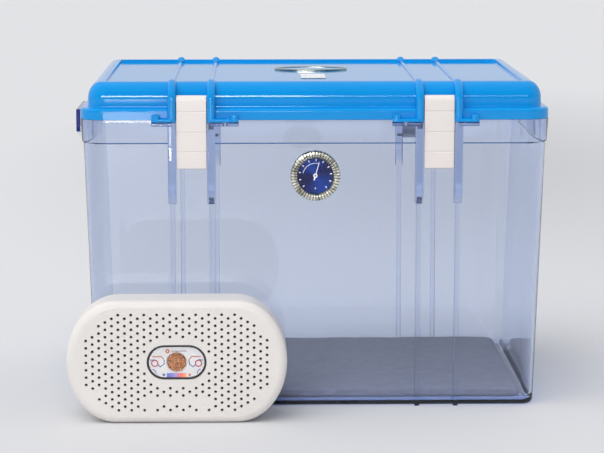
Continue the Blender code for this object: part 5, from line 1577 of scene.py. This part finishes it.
def make_sky():
    """Even light that is dimmer on the camera's side, as in a room behind a lit table."""
    world = bpy.data.worlds.new("studio")
    world.use_nodes = True
    bpy.context.scene.world = world
    tree = world.node_tree
    background = tree.nodes["Background"]
    background.inputs["Color"].default_value = (0.97, 0.98, 1.0, 1)
    direction = tree.nodes.new("ShaderNodeTexCoord")
    parts = tree.nodes.new("ShaderNodeSeparateXYZ")
    level = tree.nodes.new("ShaderNodeMapRange")
    for key, value in (("From Min", -0.9), ("From Max", 0.1), ("To Min", 0.10), ("To Max", 0.72)):
        level.inputs[key].default_value = value
    tree.links.new(direction.outputs["Generated"], parts.inputs["Vector"])
    tree.links.new(parts.outputs["Y"], level.inputs["Value"])
    tree.links.new(level.outputs["Result"], background.inputs["Strength"])


def add_sun(name, rotation, strength, spread):
    bpy.ops.object.light_add(type="SUN", rotation=rotation)
    sun = bpy.context.active_object
    sun.name = name
    sun.data.energy = strength
    sun.data.angle = math.radians(spread)
    sun.visible_glossy = False


def add_card(name, place, size, power):
    """A softbox that shows only in reflections. The suns and the sky light the box."""
    bpy.ops.object.light_add(type="AREA", location=place)
    card = bpy.context.active_object
    card.name = name
    card.data.shape = "RECTANGLE"
    card.data.size, card.data.size_y = size
    card.data.energy = power
    card.visible_camera = False
    card.visible_diffuse = False
    card.visible_transmission = False
    aim = Vector((place[0], 0, CARD_AIM))
    card.rotation_euler = (aim - Vector(place)).to_track_quat("-Z", "Y").to_euler()


def make_camera():
    bpy.ops.object.camera_add(
        location=(-0.0487, -1.9995, 0.4312),
        rotation=(math.radians(90 - 8.5014), 0, math.radians(-1.1597)),
    )
    camera = bpy.context.active_object
    camera.name = "studio_camera"
    camera.data.lens = 136.96
    camera.data.sensor_width = 36
    bpy.context.scene.camera = camera


PLAIN_NODES = (
    (RUBBER, ("gauge_seal", "lid_gasket")),
    (BLACK, ("gauge_case", "gauge_retaining_ring", "gauge_arbor", "heater_element", "power_inlet")),
    (CLEAR_PANE, ("gauge_lens",)),
    (BRASS, ("gauge_bridge",)),
    (DUST_MESH, ("dryer_dust_mesh",)),
    (BEAD_CLOTH, ("desiccant_pack",)),
    (ALUMINIUM, ("heater_plate",)),
    (BOARD, ("control_board",)),
)


def paint_frame_nodes():
    """Finishes for the pieces that the frame itself shows."""
    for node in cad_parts.values():
        paint(node, STEEL)
        smooth(node, 32, False)
    for finish, names in PLAIN_NODES:
        for name in names:
            paint(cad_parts[name], finish)


# The bezel's plating carries painted shade in its notches and painted reflections between them.
CHROME = notched_plate("notched_chrome_plate", (0.78, 0.77, 0.70), (0.26, 0.27, 0.22))
# The dial's blue carries painted highlights in two brighter sectors.
DIAL_BLUE = sunburst("dial_blue", (0, 0.001, 0.05), (0, 0.03, 0.24))
PRINT_SCALE = scale_print(
    "humidity_colours",
    DRYER_X - SCALE_HALF,
    DRYER_X + SCALE_HALF,
    (
        (0.0, (0.03, 0.10, 0.45)),
        (0.45, (0.30, 0.22, 0.50)),
        (0.7, (0.70, 0.12, 0.10)),
        (1.0, (0.80, 0.30, 0.12)),
    ),
)

paint_frame_nodes()
finish_tub()
finish_lid()
make_latch(LEFT, "latch_left")
make_latch(RIGHT, "latch_right")
make_hinge_leaf(LEFT, "hinge_leaf_left")
make_hinge_leaf(RIGHT, "hinge_leaf_right")
make_foam()
finish_badge()
finish_gauge()
finish_dryer()
make_camera()
make_studio()
bpy.context.scene.view_settings.view_transform = "Standard"
